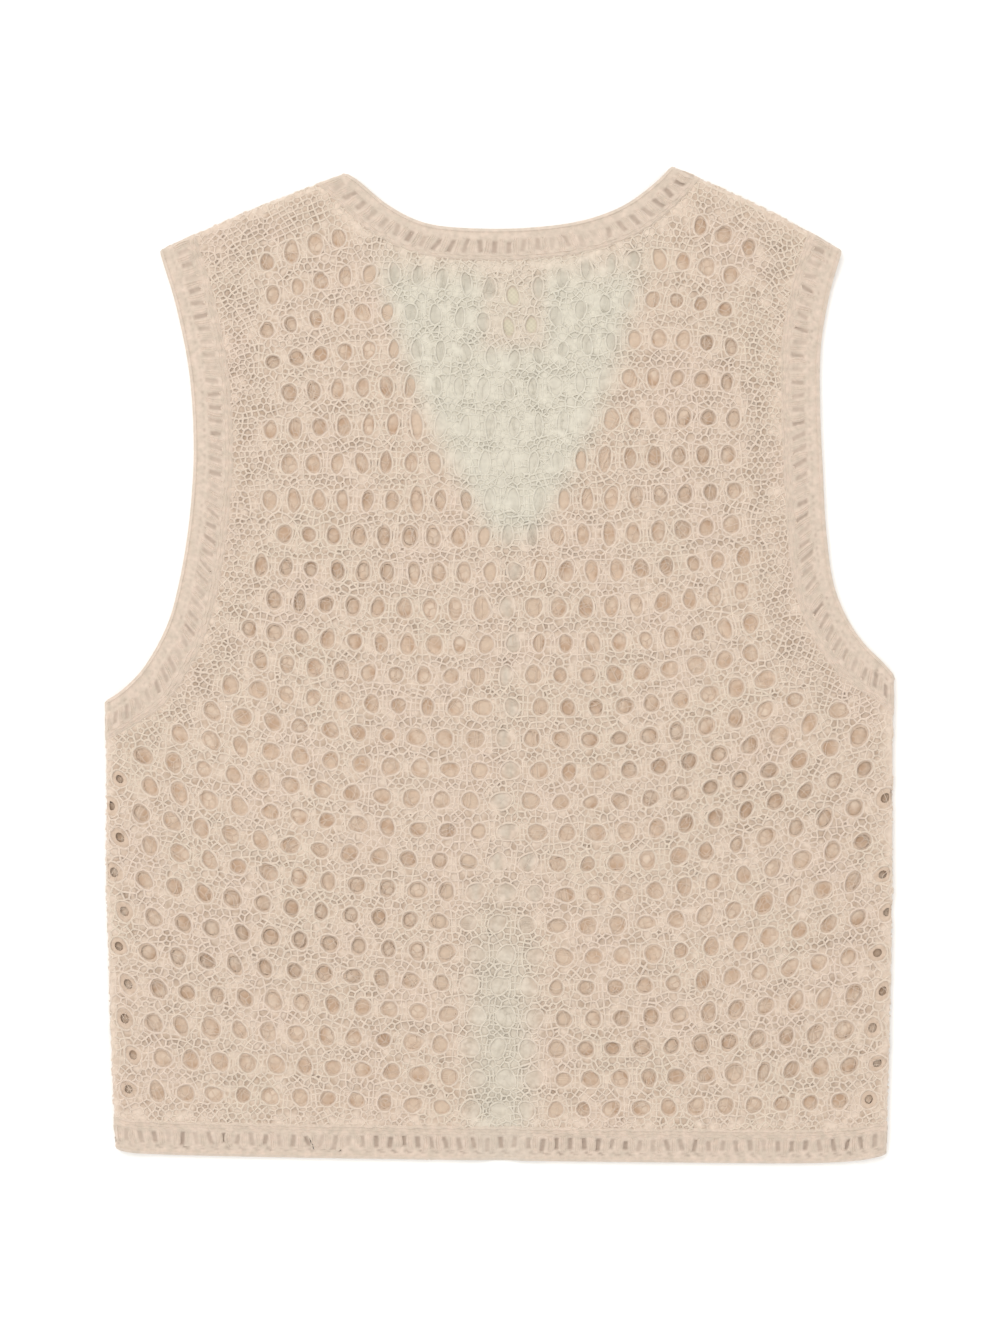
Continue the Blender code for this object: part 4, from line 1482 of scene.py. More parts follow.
LABEL_CLOTH = bpy.data.materials.new("label_cloth")
LABEL_CLOTH.use_nodes = True
nodes, links = LABEL_CLOTH.node_tree.nodes, LABEL_CLOTH.node_tree.links
shader = nodes["Principled BSDF"]
shader.inputs["Roughness"].default_value = 0.85
weave = add_node(nodes, "Group", node_tree=woven_group())
tone = add_node(nodes, "MapRange", {"From Min": -1.0, "To Min": 0.86})
light_thread = add_node(nodes, "VectorMath", {0: (0.60, 0.54, 0.41)}, operation="SCALE")
links.new(weave.outputs["Height"], tone.inputs["Value"])
links.new(tone.outputs["Result"], light_thread.inputs["Scale"])
links.new(light_thread.outputs["Vector"], shader.inputs["Base Color"])
add_relief(LABEL_CLOTH, weave.outputs["Height"], 0.4, 0.1 * MM)
print("label:", LABEL_CLOTH.name)

# %% [markdown]
# ## The ground of the cloth
#
# Brushed yarn fills its own small gaps with fibre, so between the strands one sees a soft ground, with a
# darker tone as painted shade between the strands, and only the eyelets are open. The ground is one thin
# sheet. Its plan is triangulated round the panel's edge and round each eyelet, the triangles inside the
# eyelets are left out, and the plan gets a top, an underside and a rim, so that the sheet is closed and
# truly pierced. It rises to the yarn round each eyelet, between two eyelets and towards the panel's edge,
# where the cloth looks smooth and its tone is that of the strands, and slopes down a little way into each
# eyelet, as loose fibre does, with painted shade on the slope. Where no front lies under the back, fibre
# veils the eyelets, and they are shallow dents instead, whose greyer, darker tone is painted shade of the
# floor under them.

# %% Sizes of the ground
GROUND_TOP = -0.35 * MM  # over the middle of the wall
GROUND_UNDER = {"back": -0.85 * MM, "front": -0.95 * MM}
LEAST_WALL = 0.22 * MM  # of the ground, where it slopes down into an eyelet
STAND_LIFT = 0.32 * MM  # how far the cloth is raised between two eyelets
HOLE_SPARE = 0.3 * MM  # how much larger the hole is than the ring of yarn round it
LIFT_PLAY = 0.22 * MM  # of the ground, where brushed fibre fills it more or less
LIFT_RANGE = (-1.5 * LIFT_PLAY, 2 * LIFT_PLAY)
RIM_LIFT = 0.2 * MM  # round an eyelet
RIM_SHADE = 0.22  # of the painted shade tone, where the slope into an eyelet begins
RIM_CLEAR = 0.3 * MM  # from the cut
RIM_OVERLAP = (0.88, 0.88, 1.0)  # how far a rim may reach into the next eyelet's oval
FUNNEL_SHARE = 0.68  # of an eyelet's size, open, with fibre sloping down to it
FOLD_SHARE = 0.42  # the same beside a fold, where the cloth below is far away
BESIDE_FOLD = 13.0 * MM
FUNNEL_DROP = -0.9 * MM
EDGE_LIFT = 0.5 * MM  # at the panel's edge
EDGE_FILL = 13.0 * MM  # from the edge to where that ends
FILLED_FROM = 0.15 * MM  # the rise at which the ground loses its painted shade and takes the strands' tone
FILLED_RUN = 0.5 * MM
FRONT_LIFT = 0.4  # of all those rises, for the fronts
V_LIFT = 0.12 * MM  # where the back lies alone, in the V of the fronts
LOW_GAP_LIFT = -0.3 * MM  # and in the gap above the hem
VEIL_FROM = -3.2 * MM  # depth in the fronts' opening from which an eyelet is veiled
LABEL_COVER = 4.0 * MM  # from the label's edge in to an eyelet that stays open above it
# Heights on the garment, with the depth of the veiled eyelets there and the share of their painted shade
VEIL_HEIGHTS = mm(-150.0, -120.0, 70.0, 100.0, 150.0, 190.0)
VEIL_DENTS = mm(-0.3, -0.9, -0.9, -0.3, -0.4, -0.8)
VEIL_SHADE_SHARES = (0.15, 0.5, 0.5, 0.1, 0.25, 0.7)
VEIL_SPREAD = (-0.45, 0.0, 0.45)  # of an eyelet's height
EYELET_CORNERS = 12
EYELET_INSIDE = 0.4  # of its width, how far inside the cut an eyelet lies that is cut out
FILL_STEP = 4.0 * MM
FILL_JITTER = 0.3  # of that
CUT_CLEAR = 2.0 * MM  # from the cut to the points inside it
SEAM_CLEAR = 3.0 * MM  # and from those to the points along a fold,
STAND_CLEAR = 2.5 * MM  # between two eyelets,
DENT_CLEAR = 2.6 * MM  # and in a veiled one
HOLE_CLEAR = 0.4 * MM  # from a hole to the points round it
SEAM_STEP = 4.0 * MM  # along a fold
SEAM_INSIDE = 0.5 * MM  # of the cut
SEAM_LINES = mm(0.8, 1.6, 2.5, 3.5, 5.5, 8.5)  # from a fold
INSIDE_SHARE = 0.95  # of a hole's size, for the middle of a triangle that lies in it
SMOOTH_ANGLE = math.radians(60)
print("the ground is", round((GROUND_TOP - GROUND_UNDER["back"]) / MM, 2), "mm thick")

# %% Folds and eyelets of the ground


def seam_lines(outline):
    """Points along the folds, close together so that the cloth turns over smoothly."""
    lines = []
    for side in SIDES:
        for inset in SEAM_LINES:
            heights = np.arange(HEM_Y[side], UNDERARM_Y[side], SEAM_STEP)
            seam = np.array([side_point(side, y) for y in heights])
            lines.append(seam - [SIGN[side] * inset, 0.0])
            _, _, inward, length, _ = shoulder_line(side)
            places = np.arange(0.0, length, SEAM_STEP)
            seam = np.array([shoulder_point(side, place) for place in places])
            lines.append(seam + inward * inset)
    points = np.vstack(lines)
    return points[depth_inside(points, outline) > SEAM_INSIDE]


def eyelets_to_cut(layer, outline, centres, sizes):
    """Which eyelets are cut out, and which are veiled by fibre instead."""
    inside = depth_inside(centres, outline) > sizes[:, 0] * EYELET_INSIDE
    from_label = np.abs(centres - LABEL_CENTRE) - np.array(LABEL_SIZE[:2]) / 2
    on_label = (from_label < -LABEL_COVER).all(1)
    veiled = inside & (opening_depth(*centres.T) > VEIL_FROM) & ~on_label & (layer == "back")
    return inside & ~veiled, veiled


print("lines of points along a fold:", len(SEAM_LINES))

# %% Points of the ground


def loose_points(layer, outline, stands, veiled_centres, veiled_sizes, rng):
    """Points between the eyelets, and for each its lift, its share of painted shade and its share of the
    veil's tone.
    """
    ends = np.array([[0.0, share] for share in VEIL_SPREAD]) * veiled_sizes[:, None, 1:2]
    dents = (veiled_centres[:, None] + ends).reshape(-1, 2)
    seams = seam_lines(outline)
    stands = stands[depth_inside(stands, outline) > CUT_CLEAR]
    fill = grid(FILL_STEP)
    fill = fill[depth_inside(fill, outline) > CUT_CLEAR]
    fill = fill + rng.uniform(-FILL_JITTER, FILL_JITTER, fill.shape) * FILL_STEP
    for others, clear in ((seams, SEAM_CLEAR), (stands, STAND_CLEAR), (dents, DENT_CLEAR)):
        fill = fill[clear_of(fill, others, clear)]
    loose = np.vstack([fill, seams, stands, dents])
    ends = np.cumsum([len(fill), len(seams), len(stands)])
    filled, _, raised, sunk = np.split(np.arange(len(loose)), ends)
    lifts = EDGE_LIFT * (1 - smooth_step(depth_inside(loose, outline) / EDGE_FILL))
    lifts[filled] += rng.normal(0.0, LIFT_PLAY, len(fill)).clip(*LIFT_RANGE)
    lifts[raised] = STAND_LIFT
    lifts *= 1.0 if layer == "back" else FRONT_LIFT
    lifts += np.where(loose[:, 1] > 0, V_LIFT, LOW_GAP_LIFT) * single_layer(*loose.T)
    lifts[sunk] = np.interp(dents[:, 1], VEIL_HEIGHTS, VEIL_DENTS)
    marks = np.column_stack([lifts, np.zeros((len(loose), 2))])
    # The veiled eyelets' greyer tone is painted shade
    marks[sunk, 2] = np.interp(dents[:, 1], VEIL_HEIGHTS, VEIL_SHADE_SHARES)
    return loose, marks


def rim_points(turns, outline, cut, centres, sizes):
    """Points on the rings of yarn, where the slope into an eyelet begins, with a little painted shade."""
    between = turns + turns[1] / 2
    reach = ring_reach(between, np.flatnonzero(cut)[:, None])
    rims = (centres[:, None] + oval_ways(between, reach, sizes[:, None])).reshape(-1, 2)
    rims = rims[depth_inside(rims, outline) > RIM_CLEAR]
    rims = rims[outside_eyelets(rims, centres, sizes * RIM_OVERLAP)]
    return rims, np.tile([RIM_LIFT, RIM_SHADE, 0.0], (len(rims), 1))


def loop_edges(first, count):
    return [(first + k, first + (k + 1) % count) for k in range(count)]


print("a veiled eyelet is up to", -min(VEIL_DENTS) / MM, "mm deep")

# %% A closed sheet


def closed_sheet(name, top, under, triangles, material):
    """A piece with a top, an underside and a rim round its edge and round each hole."""
    sides = np.vstack([triangles[:, [0, 1]], triangles[:, [1, 2]], triangles[:, [2, 0]]])
    seen = {(a, b) for a, b in sides}
    rim = [(a, b) for a, b in seen if (b, a) not in seen]
    count = len(top)
    faces = [tuple(face) for face in triangles]
    faces += [(c + count, b + count, a + count) for a, b, c in triangles]
    faces += [(b, a, a + count, b + count) for a, b in sorted(rim)]
    mesh = bpy.data.meshes.new(name)
    mesh.from_pydata(np.vstack([top, under]).tolist(), [], faces)
    shape = bmesh.new()
    shape.from_mesh(mesh)
    bmesh.ops.recalc_face_normals(shape, faces=shape.faces)
    shape.to_mesh(mesh)
    shape.free()
    mesh.materials.append(material)
    piece = bpy.data.objects.new(name, mesh)
    bpy.context.scene.collection.objects.link(piece)
    select_only(piece)
    bpy.ops.object.shade_smooth_by_angle(angle=SMOOTH_ANGLE)
    return piece


print("edges are smooth up to", round(math.degrees(SMOOTH_ANGLE)), "degrees")

# %% The ground of a panel


def ground_cloth(name, layer, outline, centres, sizes, stands, material, slot, rng):
    """A thin closed sheet with the eyelets cut out."""
    turns = np.arange(EYELET_CORNERS) * 2 * math.pi / EYELET_CORNERS
    cut, veiled = eyelets_to_cut(layer, outline, centres, sizes)
    sizes = wider(sizes, HOLE_SPARE)
    loose, marks = loose_points(layer, outline, stands, centres[veiled], sizes[veiled], rng)
    centres, sizes = centres[cut], sizes[cut]
    keep = outside_eyelets(loose, centres, wider(sizes, HOLE_CLEAR))
    loose, marks = loose[keep], marks[keep]
    share = np.ones(len(centres))
    # The edge of each hole gets the full painted shade
    hole_mark = [RIM_LIFT * FRONT_LIFT, 1.0, 0.0]
    if layer == "back":
        share = np.where(fold_distances(centres)[0] < BESIDE_FOLD, FOLD_SHARE, FUNNEL_SHARE)
        hole_mark = [FUNNEL_DROP, 1.0, 0.0]
        rims, rim_marks = rim_points(turns, outline, cut, centres, sizes)
        loose, marks = np.vstack([loose, rims]), np.vstack([marks, rim_marks])
    holes = (centres[:, None] + oval_ways(turns, share[:, None], sizes[:, None])).reshape(-1, 2)
    points = np.vstack([outline, holes, loose])
    marks = np.vstack([np.zeros((len(outline), 3)), np.tile(hole_mark, (len(holes), 1)), marks])
    edges = loop_edges(0, len(outline))
    for first in range(len(outline), len(outline) + len(holes), EYELET_CORNERS):
        edges += loop_edges(first, EYELET_CORNERS)
    made = geometry.delaunay_2d_cdt([Vector(point) for point in points], edges, [], 0, 1e-7)
    plan = np.array([tuple(point) for point in made[0]])
    marks = np.array([marks[origin[0]] if origin else np.zeros(3) for origin in made[3]])
    triangles = np.array([face for face in made[2] if len(face) == 3])
    middles = plan[triangles].mean(1)
    inside = (share * INSIDE_SHARE)[:, None]
    keep = depth_inside(middles, outline) > 0
    keep &= outside_eyelets(middles, centres, np.hstack([sizes[:, :2] * inside, sizes[:, 2:]]))
    used, triangles = np.unique(triangles[keep], return_inverse=True)
    triangles = triangles.reshape(-1, 3)
    plan, (lift, deep, veil) = plan[used], marks[used].T
    top = placed(layer, plan, GROUND_TOP + lift)
    under = placed(layer, plan, np.minimum(GROUND_UNDER[layer], GROUND_TOP + lift - LEAST_WALL))
    piece = closed_sheet(name, top, under, triangles, material)
    settled(piece, layer == "back")
    # Where the ground rises, its painted shade gives way to the strands' tone
    mark(piece, "second_tone", np.tile(smooth_step((lift - FILLED_FROM) / FILLED_RUN), 2))
    # Painted shade at the eyelets' rims and on the slope into them
    mark(piece, "painted_shade", np.tile(deep, 2))
    mark(piece, "veiled", np.tile(veil, 2))
    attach(piece, "root")
    print(name, "triangles:", triangle_count(piece), "eyelets:", int(cut.sum()))
    return piece


print("corners of each hole in the ground:", EYELET_CORNERS)

# %% [markdown]
# ## Knitting the panels
#
# The strands of each panel are charted, laid in place and drawn, each sunk in part in
# the ground. A few loose hairs cross each eyelet of the back, as on brushed yarn.
# The back's net is drawn as three pieces, so that none is too heavy.

# %% Strands of a panel
RING_RADIUS = 0.68 * MM
STAND_RADIUS = 0.62 * MM
NET_RADIUS = 0.66 * MM
RADIUS_PLAY = 0.15  # of a strand's radius, from crossing to crossing
RADIUS_RANGE = (0.65, 1.35)
RING_SINK = 0.25 * MM  # how much deeper these strands lie than the small net
STAND_SINK = 0.1 * MM
FRONT_RISE = 0.6 * MM  # of the fronts' strands, towards the back
HEIGHT_PLAY = 0.15 * MM
RELAX_ROUNDS = 2
RELAX_SHARE = 0.3  # of the way to the middle of a crossing's neighbours


def knitted(layer, chart, outline, rng):
    """All the strands of one panel: (points, radii, closed), laid in place."""
    crossings, pairs, strand_kinds, owners = net_of(*chart[:4])
    for _ in range(RELAX_ROUNDS):
        crossings = relaxed(crossings, pairs, strand_kinds, RELAX_SHARE)
    net = rounded(crossings, pairs, strand_kinds, owners, *chart[2:4])
    crossings, pairs, strand_kinds = cut_to(outline, *net)
    lift = rng.normal(0.0, HEIGHT_PLAY, len(crossings)).clip(-2 * HEIGHT_PLAY, 2 * HEIGHT_PLAY)
    lift[np.unique(pairs[strand_kinds == EYELET])] -= RING_SINK
    lift[np.unique(pairs[strand_kinds == SLIT])] -= STAND_SINK
    lift -= FRONT_RISE if layer == "front" else 0.0
    thickness = rng.normal(1.0, RADIUS_PLAY, len(crossings)).clip(*RADIUS_RANGE)
    flat = np.column_stack([crossings, lift, thickness])
    radius_of = {EYELET: RING_RADIUS, SLIT: STAND_RADIUS, SMALL: NET_RADIUS}
    strands = []
    for path, kind, closed in strands_of(crossings, pairs, strand_kinds):
        points = flat[path[:-1] if closed else path]
        if len(points) < 2:
            continue
        strands.append((points[:, :3], points[:, 3] * radius_of[kind], closed))
    return laid_strands(layer, strands)


def laid_strands(layer, strands):
    """Strands on flat cloth, with heights, laid in place all at once."""
    ends = np.cumsum([len(points) for points, _, _ in strands])[:-1]
    everything = np.vstack([points for points, _, _ in strands])
    laid = np.split(placed(layer, everything[:, :2], everything[:, 2]), ends)
    return [(points, radii, closed) for points, (_, radii, closed) in zip(laid, strands)]


print("radii of the strands, mm:", [round(r / MM, 2) for r in (RING_RADIUS, STAND_RADIUS, NET_RADIUS)])

# %% Loose hairs
HAIRS = 1.2  # across one eyelet, on average
HAIR_RADIUS = mm(0.08, 0.13)
HAIR_TURN = (1.6, 4.2)  # radians round the eyelet, from a hair's start to its end
HAIR_BOW = (-0.5, 0.75)  # how far out its middle lies, in shares of the eyelet's size
HAIR_HEIGHTS = (-0.6, 0.1)  # mm over the middle of the wall
HAIR_CLEAR = 5 * MM  # from the cut to an eyelet with hairs


def eyelet_hairs(centres, sizes, rng):
    """Loose hairs across the eyelets."""
    hairs = []
    for centre, size in zip(centres, sizes):
        for _ in range(rng.poisson(HAIRS)):
            start = rng.uniform(0.0, 2 * math.pi)
            end = start + rng.uniform(*HAIR_TURN)
            turns = np.array([start, (start + end) / 2, end])
            reach = np.array([1.0, rng.uniform(*HAIR_BOW), 1.0])
            flat = centre + oval_ways(turns, reach, size)
            heights = rng.uniform(*HAIR_HEIGHTS, 3) * MM
            radius = np.full(3, rng.uniform(*HAIR_RADIUS))
            hairs.append((np.column_stack([flat, heights]), radius, False))
    return laid_strands("back", hairs)


print("hairs across an eyelet:", HAIRS)

# %% The back
LOWER_END = -88.0 * MM  # heights where the pieces of the back's net meet
MIDDLE_END = 78.0 * MM
rng = np.random.default_rng(11)
back_chart = chart_holes("back", None, OUTLINES["back"], rng)
parts = {"back_net_lower": [], "back_net_middle": [], "back_net_yoke": []}
for strand in knitted("back", back_chart, OUTLINES["back"], rng):
    y = strand[0][:, 1].mean()
    part = "lower" if y < LOWER_END else "middle" if y < MIDDLE_END else "yoke"
    parts["back_net_" + part].append(strand)
back_nets = [drawn_yarn(name, strands, NET_YARN) for name, strands in parts.items()]
centres, sizes = back_chart[2:4]
open_eyelets = depth_inside(centres, OUTLINES["back"]) > HAIR_CLEAR
hairs = eyelet_hairs(centres[open_eyelets], sizes[open_eyelets], rng)
back_nets.append(drawn_yarn("back_eyelet_hairs", hairs, NET_YARN))
back_cloth = ground_cloth(
    "back_cloth", "back", OUTLINES["back"], *back_chart[2:], GROUND_YARN, "net_yarn", rng
)
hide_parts("back_panel")

# %% The fronts
for seed, side in ((23, "left"), (37, "right")):
    rng = np.random.default_rng(seed)
    chart = chart_holes("front", side, OUTLINES[side], rng)
    strands = knitted("front", chart, OUTLINES[side], rng)
    name = "front_" + side + "_net"
    drawn_yarn(name, strands, FRONT_YARN, back=False)
    name = "front_" + side + "_cloth"
    ground_cloth(
        name, "front", OUTLINES[side], *chart[2:], FRONT_GROUND, "net_yarn", rng
    )
    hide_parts("front_" + side + "_panel")

# %% [markdown]
# ## Crocheting the bands
#
# A band is three things side by side: a rolled edge, a row of tall posts with a slit
# between each two, and a plain strip where the knitting is picked up. Each is charted
# once for one stitch and repeated along the band. A thin ground lies under all three,
# so the slits are soft hollows, as the brushed yarn makes them. The slit row lies
# farther in at the armholes than at the neck and the hem.

# %% Sizes of the crochet
# Distance of the slits' two ends and of the plain strip's end from the free edge, and
# length of one stitch along the band
BAND_STITCHES = {
    "hem": mm(6.4, 12.6, 19.0, 7.6),
    "neck": mm(6.7, 13.3, 18.4, 7.0),
    "armhole": mm(8.9, 15.8, 22.5, 6.7),
}
SLIT_STRENGTHS = {"hem": 0.82, "neck": 0.72, "armhole": 0.58}  # how deep the slits are, and how dark their painted shade
# Shallow dents along the rolled edge: distance from the edge, and how deep each is at the places of one
# stitch; each dent also gets painted shade. On the hem a short slanting mark stands under each slit, on
# the armholes a row of dots.
BAND_DENTS = {
    "hem": (
        (3.0, (0, 0, 0, 0, 0, 0, 0, 0)),
        (3.8, (0, 0, 0.3, 1, 0.8, 0, 0, 0)),
        (4.8, (0.4, 1, 1, 0.4, 0, 0, 0, 0)),
    ),
    "neck": ((3.6, (0, 0, 0, 0, 0, 0, 0, 0)), (4.8, (0.5, 0.3, 0, 0, 0, 0, 0, 0.3))),
    "armhole": (
        (4.9, (0, 0, 0, 0, 0, 0, 0, 0)),
        (6.0, (1, 0.7, 0, 0, 0.8, 0, 0, 0.7)),
        (7.1, (0, 0, 0, 0, 0, 0, 0, 0)),
    ),
}
DENT_DEPTH = 0.7 * MM
# share of the slits' painted shade, in a dent
DENT_SHADE = 0.55
POST_RADIUS = 1.15 * MM
POST_SPREAD = 0.165  # of a stitch, between the strands of one post
POST_ENDS = 1.0 * MM  # how far a post reaches past its slit, at each end
# Place along a post, its height in mm, and how far its strands stand apart
POST_PROFILE = ((0.0, -0.1, 0.8), (0.2, 0.0, 1.0), (0.5, 0.1, 1.0), (0.8, 0.0, 1.0), (1.0, -0.1, 0.8))
POST_BOW = 0.06  # of a stitch
POST_RISE = 0.07  # mm
EDGE_RADIUS = 1.45 * MM
STRIP_RADIUS = 1.5 * MM
STRIP_INSETS = mm(0.3, 0.6)  # from the posts, and from the strip's end
STRIP_STEP = 1.75 * MM
LINE_PLAY = 0.1 * MM
STRIP_HEIGHT = -0.35 * MM
STITCH_WAVE = 0.3 * MM  # of the long strands, once each stitch
# The ground of a band fills it nearly to the top of its strands, but for the slits
GROUND_HIGH = 0.8 * MM
GROUND_LOW = -0.6 * MM
GROUND_PLAY = 0.12 * MM
BAND_UNDER = -1.0 * MM
# Distance from the free edge, and height, of the ground's rolled edge
EDGE_PROFILE = (mm(0.35, -0.5), mm(0.9, 0.35), (2.0 * MM, GROUND_HIGH))
# and distance from the strip's end, and height, where it meets the knitting
STRIP_PROFILE = ((1.6 * MM, GROUND_HIGH - 0.2 * MM), mm(0.6, -0.2))
# Places along one stitch, in shares of it, and how far the slit is closed at each
SLIT_PROFILE = (
    (0.0, 0.0),
    (0.11, 0.15),
    (0.2, 0.75),
    (0.3, 1.0),
    (0.5, 1.0),
    (0.7, 1.0),
    (0.8, 0.75),
    (0.89, 0.15),
)
SLIT_END = 0.5  # how open a slit is at its two ends
SLIT_LEAN = 0.07  # of a stitch
SLIT_WALL = 0.7 * MM
SLIT_PLAY = 0.5 * MM  # of a slit's two ends
DEPTH_PLAY = 0.3  # of a slit's depth, from stitch to stitch
DEPTH_RANGE = (0.3, 1.4)
SHADE_FROM = 3.0 * MM  # past the neck band
LEAST_STITCHES = 4
print("stitches round the neck:", round(BACK_NECK.length / BAND_STITCHES["neck"][3]))

# %% Ground of a band


def stitch_count(band, kind):
    return max(LEAST_STITCHES, round(band.length / BAND_STITCHES[kind][3]))


def band_ground(band, kind, rng):
    """The ground of a band with its slits, as one tube: the points round it, and their shares of painted
    shade.
    """
    slit_low, slit_high, strip_end, _ = BAND_STITCHES[kind]
    count = stitch_count(band, kind)
    phase, closed = (np.tile(column, count) for column in np.array(SLIT_PROFILE).T)
    along = (np.repeat(np.arange(count), len(SLIT_PROFILE)) + phase) / count
    along, closed = np.append(along, 1.0), np.append(closed, 1.0)
    closed[:3] = 1.0  # no slit at the band's very start
    stitch = np.minimum((along * count + 0.5).astype(int), count)
    depth = SLIT_STRENGTHS[kind] * rng.normal(1.0, DEPTH_PLAY, count + 1).clip(*DEPTH_RANGE)[stitch]
    lean = rng.normal(0.0, SLIT_LEAN, count + 1)[stitch] / count
    shift = rng.normal(0.0, SLIT_PLAY, (2, count + 1))[:, stitch]
    rows, tones = [], []

    def add(across, height, tone=0.0, play=GROUND_PLAY, slip=0.0):
        across = np.broadcast_to(across, along.shape) / BAND_WIDTH
        heights = height + rng.normal(0.0, play, len(along))
        rows.append(band.points(np.clip(along + slip, 0.0, 1.0), across, heights))
        tones.append(np.broadcast_to(tone, along.shape))

    openness = (1 - closed) * depth
    slit = GROUND_HIGH - (GROUND_HIGH - GROUND_LOW) * openness
    slit_end = GROUND_HIGH - (GROUND_HIGH - GROUND_LOW) * openness * SLIT_END
    add(EDGE_PROFILE[0][0], BAND_UNDER, play=0.0)
    for across, height in EDGE_PROFILE:
        add(across, height)
    for across, dents in BAND_DENTS[kind]:
        dent = np.append(np.tile(dents, count), 0.0) * depth
        add(across * MM, GROUND_HIGH - dent * DENT_DEPTH, dent * DENT_SHADE)
    add(slit_low - SLIT_WALL + shift[0], GROUND_HIGH)
    add(slit_low + shift[0], slit_end, openness * SLIT_END, slip=-lean)
    add(slit_low + SLIT_WALL + shift[0], slit, openness, slip=-lean)
    add(slit_high - SLIT_WALL + shift[1], slit, openness, slip=lean)
    add(slit_high + shift[1], slit_end, openness * SLIT_END, slip=lean)
    add(slit_high + SLIT_WALL + shift[1], GROUND_HIGH)
    for inset, height in STRIP_PROFILE:
        add(strip_end - inset, height)
    add(strip_end - STRIP_PROFILE[-1][0], BAND_UNDER, play=0.0)
    return np.stack(rows, 1), np.stack(tones, 1)


def with_ground(piece, grounds):
    """Adds the grounds to a piece's mesh."""
    shape = bmesh.new()
    shape.from_mesh(piece.data)
    # The second tone of a band is painted shade in its slits and dents
    tone_layer = shape.verts.layers.float.new("second_tone")
    for rows, tones in grounds:
        rings = [[shape.verts.new(point) for point in ring] for ring in rows]
        for ring, ring_tones in zip(rings, tones):
            for vert, tone in zip(ring, ring_tones):
                vert[tone_layer] = float(np.clip(tone, 0.0, 1.0))
        count = len(rings[0])
        made = [shape.faces.new(rings[0]), shape.faces.new(rings[-1])]
        for here, after in zip(rings, rings[1:]):
            for k in range(count):
                following = (k + 1) % count
                made.append(shape.faces.new((here[k], here[following], after[following], after[k])))
        bmesh.ops.recalc_face_normals(shape, faces=made)
    shape.to_mesh(piece.data)
    shape.free()
    select_only(piece)
    bpy.ops.object.shade_smooth_by_angle(angle=SMOOTH_ANGLE)
    settled(piece, True)
    print(piece.name, "with its ground, triangles:", triangle_count(piece))


print("a slit at full strength is", round((GROUND_HIGH - GROUND_LOW) / MM, 1), "mm deep")

# %% Strands of a band


def crocheted(band, kind, rng):
    """All the strands of one layer of a band."""
    slit_low, slit_high, strip_end, _ = BAND_STITCHES[kind]
    count = stitch_count(band, kind)
    strands = []

    def add(along, across, heights, radius):
        along = np.clip(np.asarray(along, float), 0.0, 1.0)
        across = np.broadcast_to(np.asarray(across, float), along.shape) / BAND_WIDTH
        heights = np.broadcast_to(np.asarray(heights, float), along.shape)
        strands.append((band.points(along, across, heights), np.full(len(along), radius), False))

    low, high = slit_low - POST_ENDS, slit_high + POST_ENDS
    for post in range(count):
        bow = rng.normal(0.0, POST_BOW)
        rise = rng.normal(0.0, POST_RISE) * MM
        for strand in (-1, 0, 1):
            share, height, spread = np.array(POST_PROFILE).T
            along = post + 0.5 + strand * POST_SPREAD * spread + bow * np.sin(math.pi * share)
            add(along / count, low + (high - low) * share, height * MM + rise, POST_RADIUS)
    steps = np.linspace(0.0, 1.0, 2 * count + 1)
    wave = STITCH_WAVE * np.cos(2 * math.pi * steps * count)
    add(steps, EDGE_RADIUS, rng.normal(0.0, LINE_PLAY, len(steps)), EDGE_RADIUS)
    first, last = high + STRIP_INSETS[0], strip_end - STRIP_INSETS[1]
    for k, across in enumerate(np.arange(first, last, STRIP_STEP)):
        play = rng.normal(0.0, LINE_PLAY, len(steps))
        sway = np.roll(wave, k) + rng.normal(0.0, LINE_PLAY, len(steps))
        add(steps, across + sway, STRIP_HEIGHT + play, STRIP_RADIUS)
    return strands


def shade_front_bands(piece):
    """Gives the bands down the fronts, which show through the back, the fronts' painted shade tone, and no
    painted light from below.
    """
    place = np.array([vert.co.xy for vert in piece.data.vertices])
    on_front = nearest_gap(place, NECK_EDGE) > BAND_WIDTH + SHADE_FROM
    on_front &= place[:, 1] > HEM_Y["left"] + BAND_WIDTH
    mark(piece, "single_layer", np.where(on_front, 0.0, single_layer(*place.T)))
    mark(piece, "painted_shade", on_front)


def band_piece(name, node, kind, bands, rng):
    """One band with all its layers, in place of its plain solid."""
    strands = []
    for band in bands:
        strands += crocheted(band, kind, rng)
    piece = drawn_yarn(name, strands, BAND_YARN)
    with_ground(piece, [band_ground(band, kind, rng) for band in bands])
    if kind == "neck":
        shade_front_bands(piece)
    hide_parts(node)
    return piece


post_start, post_end = BAND_STITCHES["armhole"][:2]
print("a post at the armholes, mm:", round((post_end - post_start + 2 * POST_ENDS) / MM, 1))

# %% The four bands
rng = np.random.default_rng(71)
for side in SIDES:
    bands = [ARMHOLE_BANDS["back", side], ARMHOLE_BANDS["front", side]]
    node = "armhole_" + side + "_band"
    band_piece("armhole_" + side + "_crochet", node, "armhole", bands, rng)
bands = [BACK_HEM, FRONT_HEMS["left"], FRONT_HEMS["right"]]
hem_piece = band_piece("hem_crochet", "hem_band", "hem", bands, rng)
bands = [BACK_NECK, FRONT_BANDS["left"], FRONT_BANDS["right"]]
neck_piece = band_piece("neck_crochet", "neck_band", "neck", bands, rng)

# %% [markdown]
# ## The neck label
#
# A small woven tab is sewn inside the back, below the neck band, and shows faintly
# through the openwork. It is left bare. A thin block is enough for it: it is divided
# in edit mode, a slow wave is given to it, and its edges are rounded with a Bevel
# modifier that is applied.

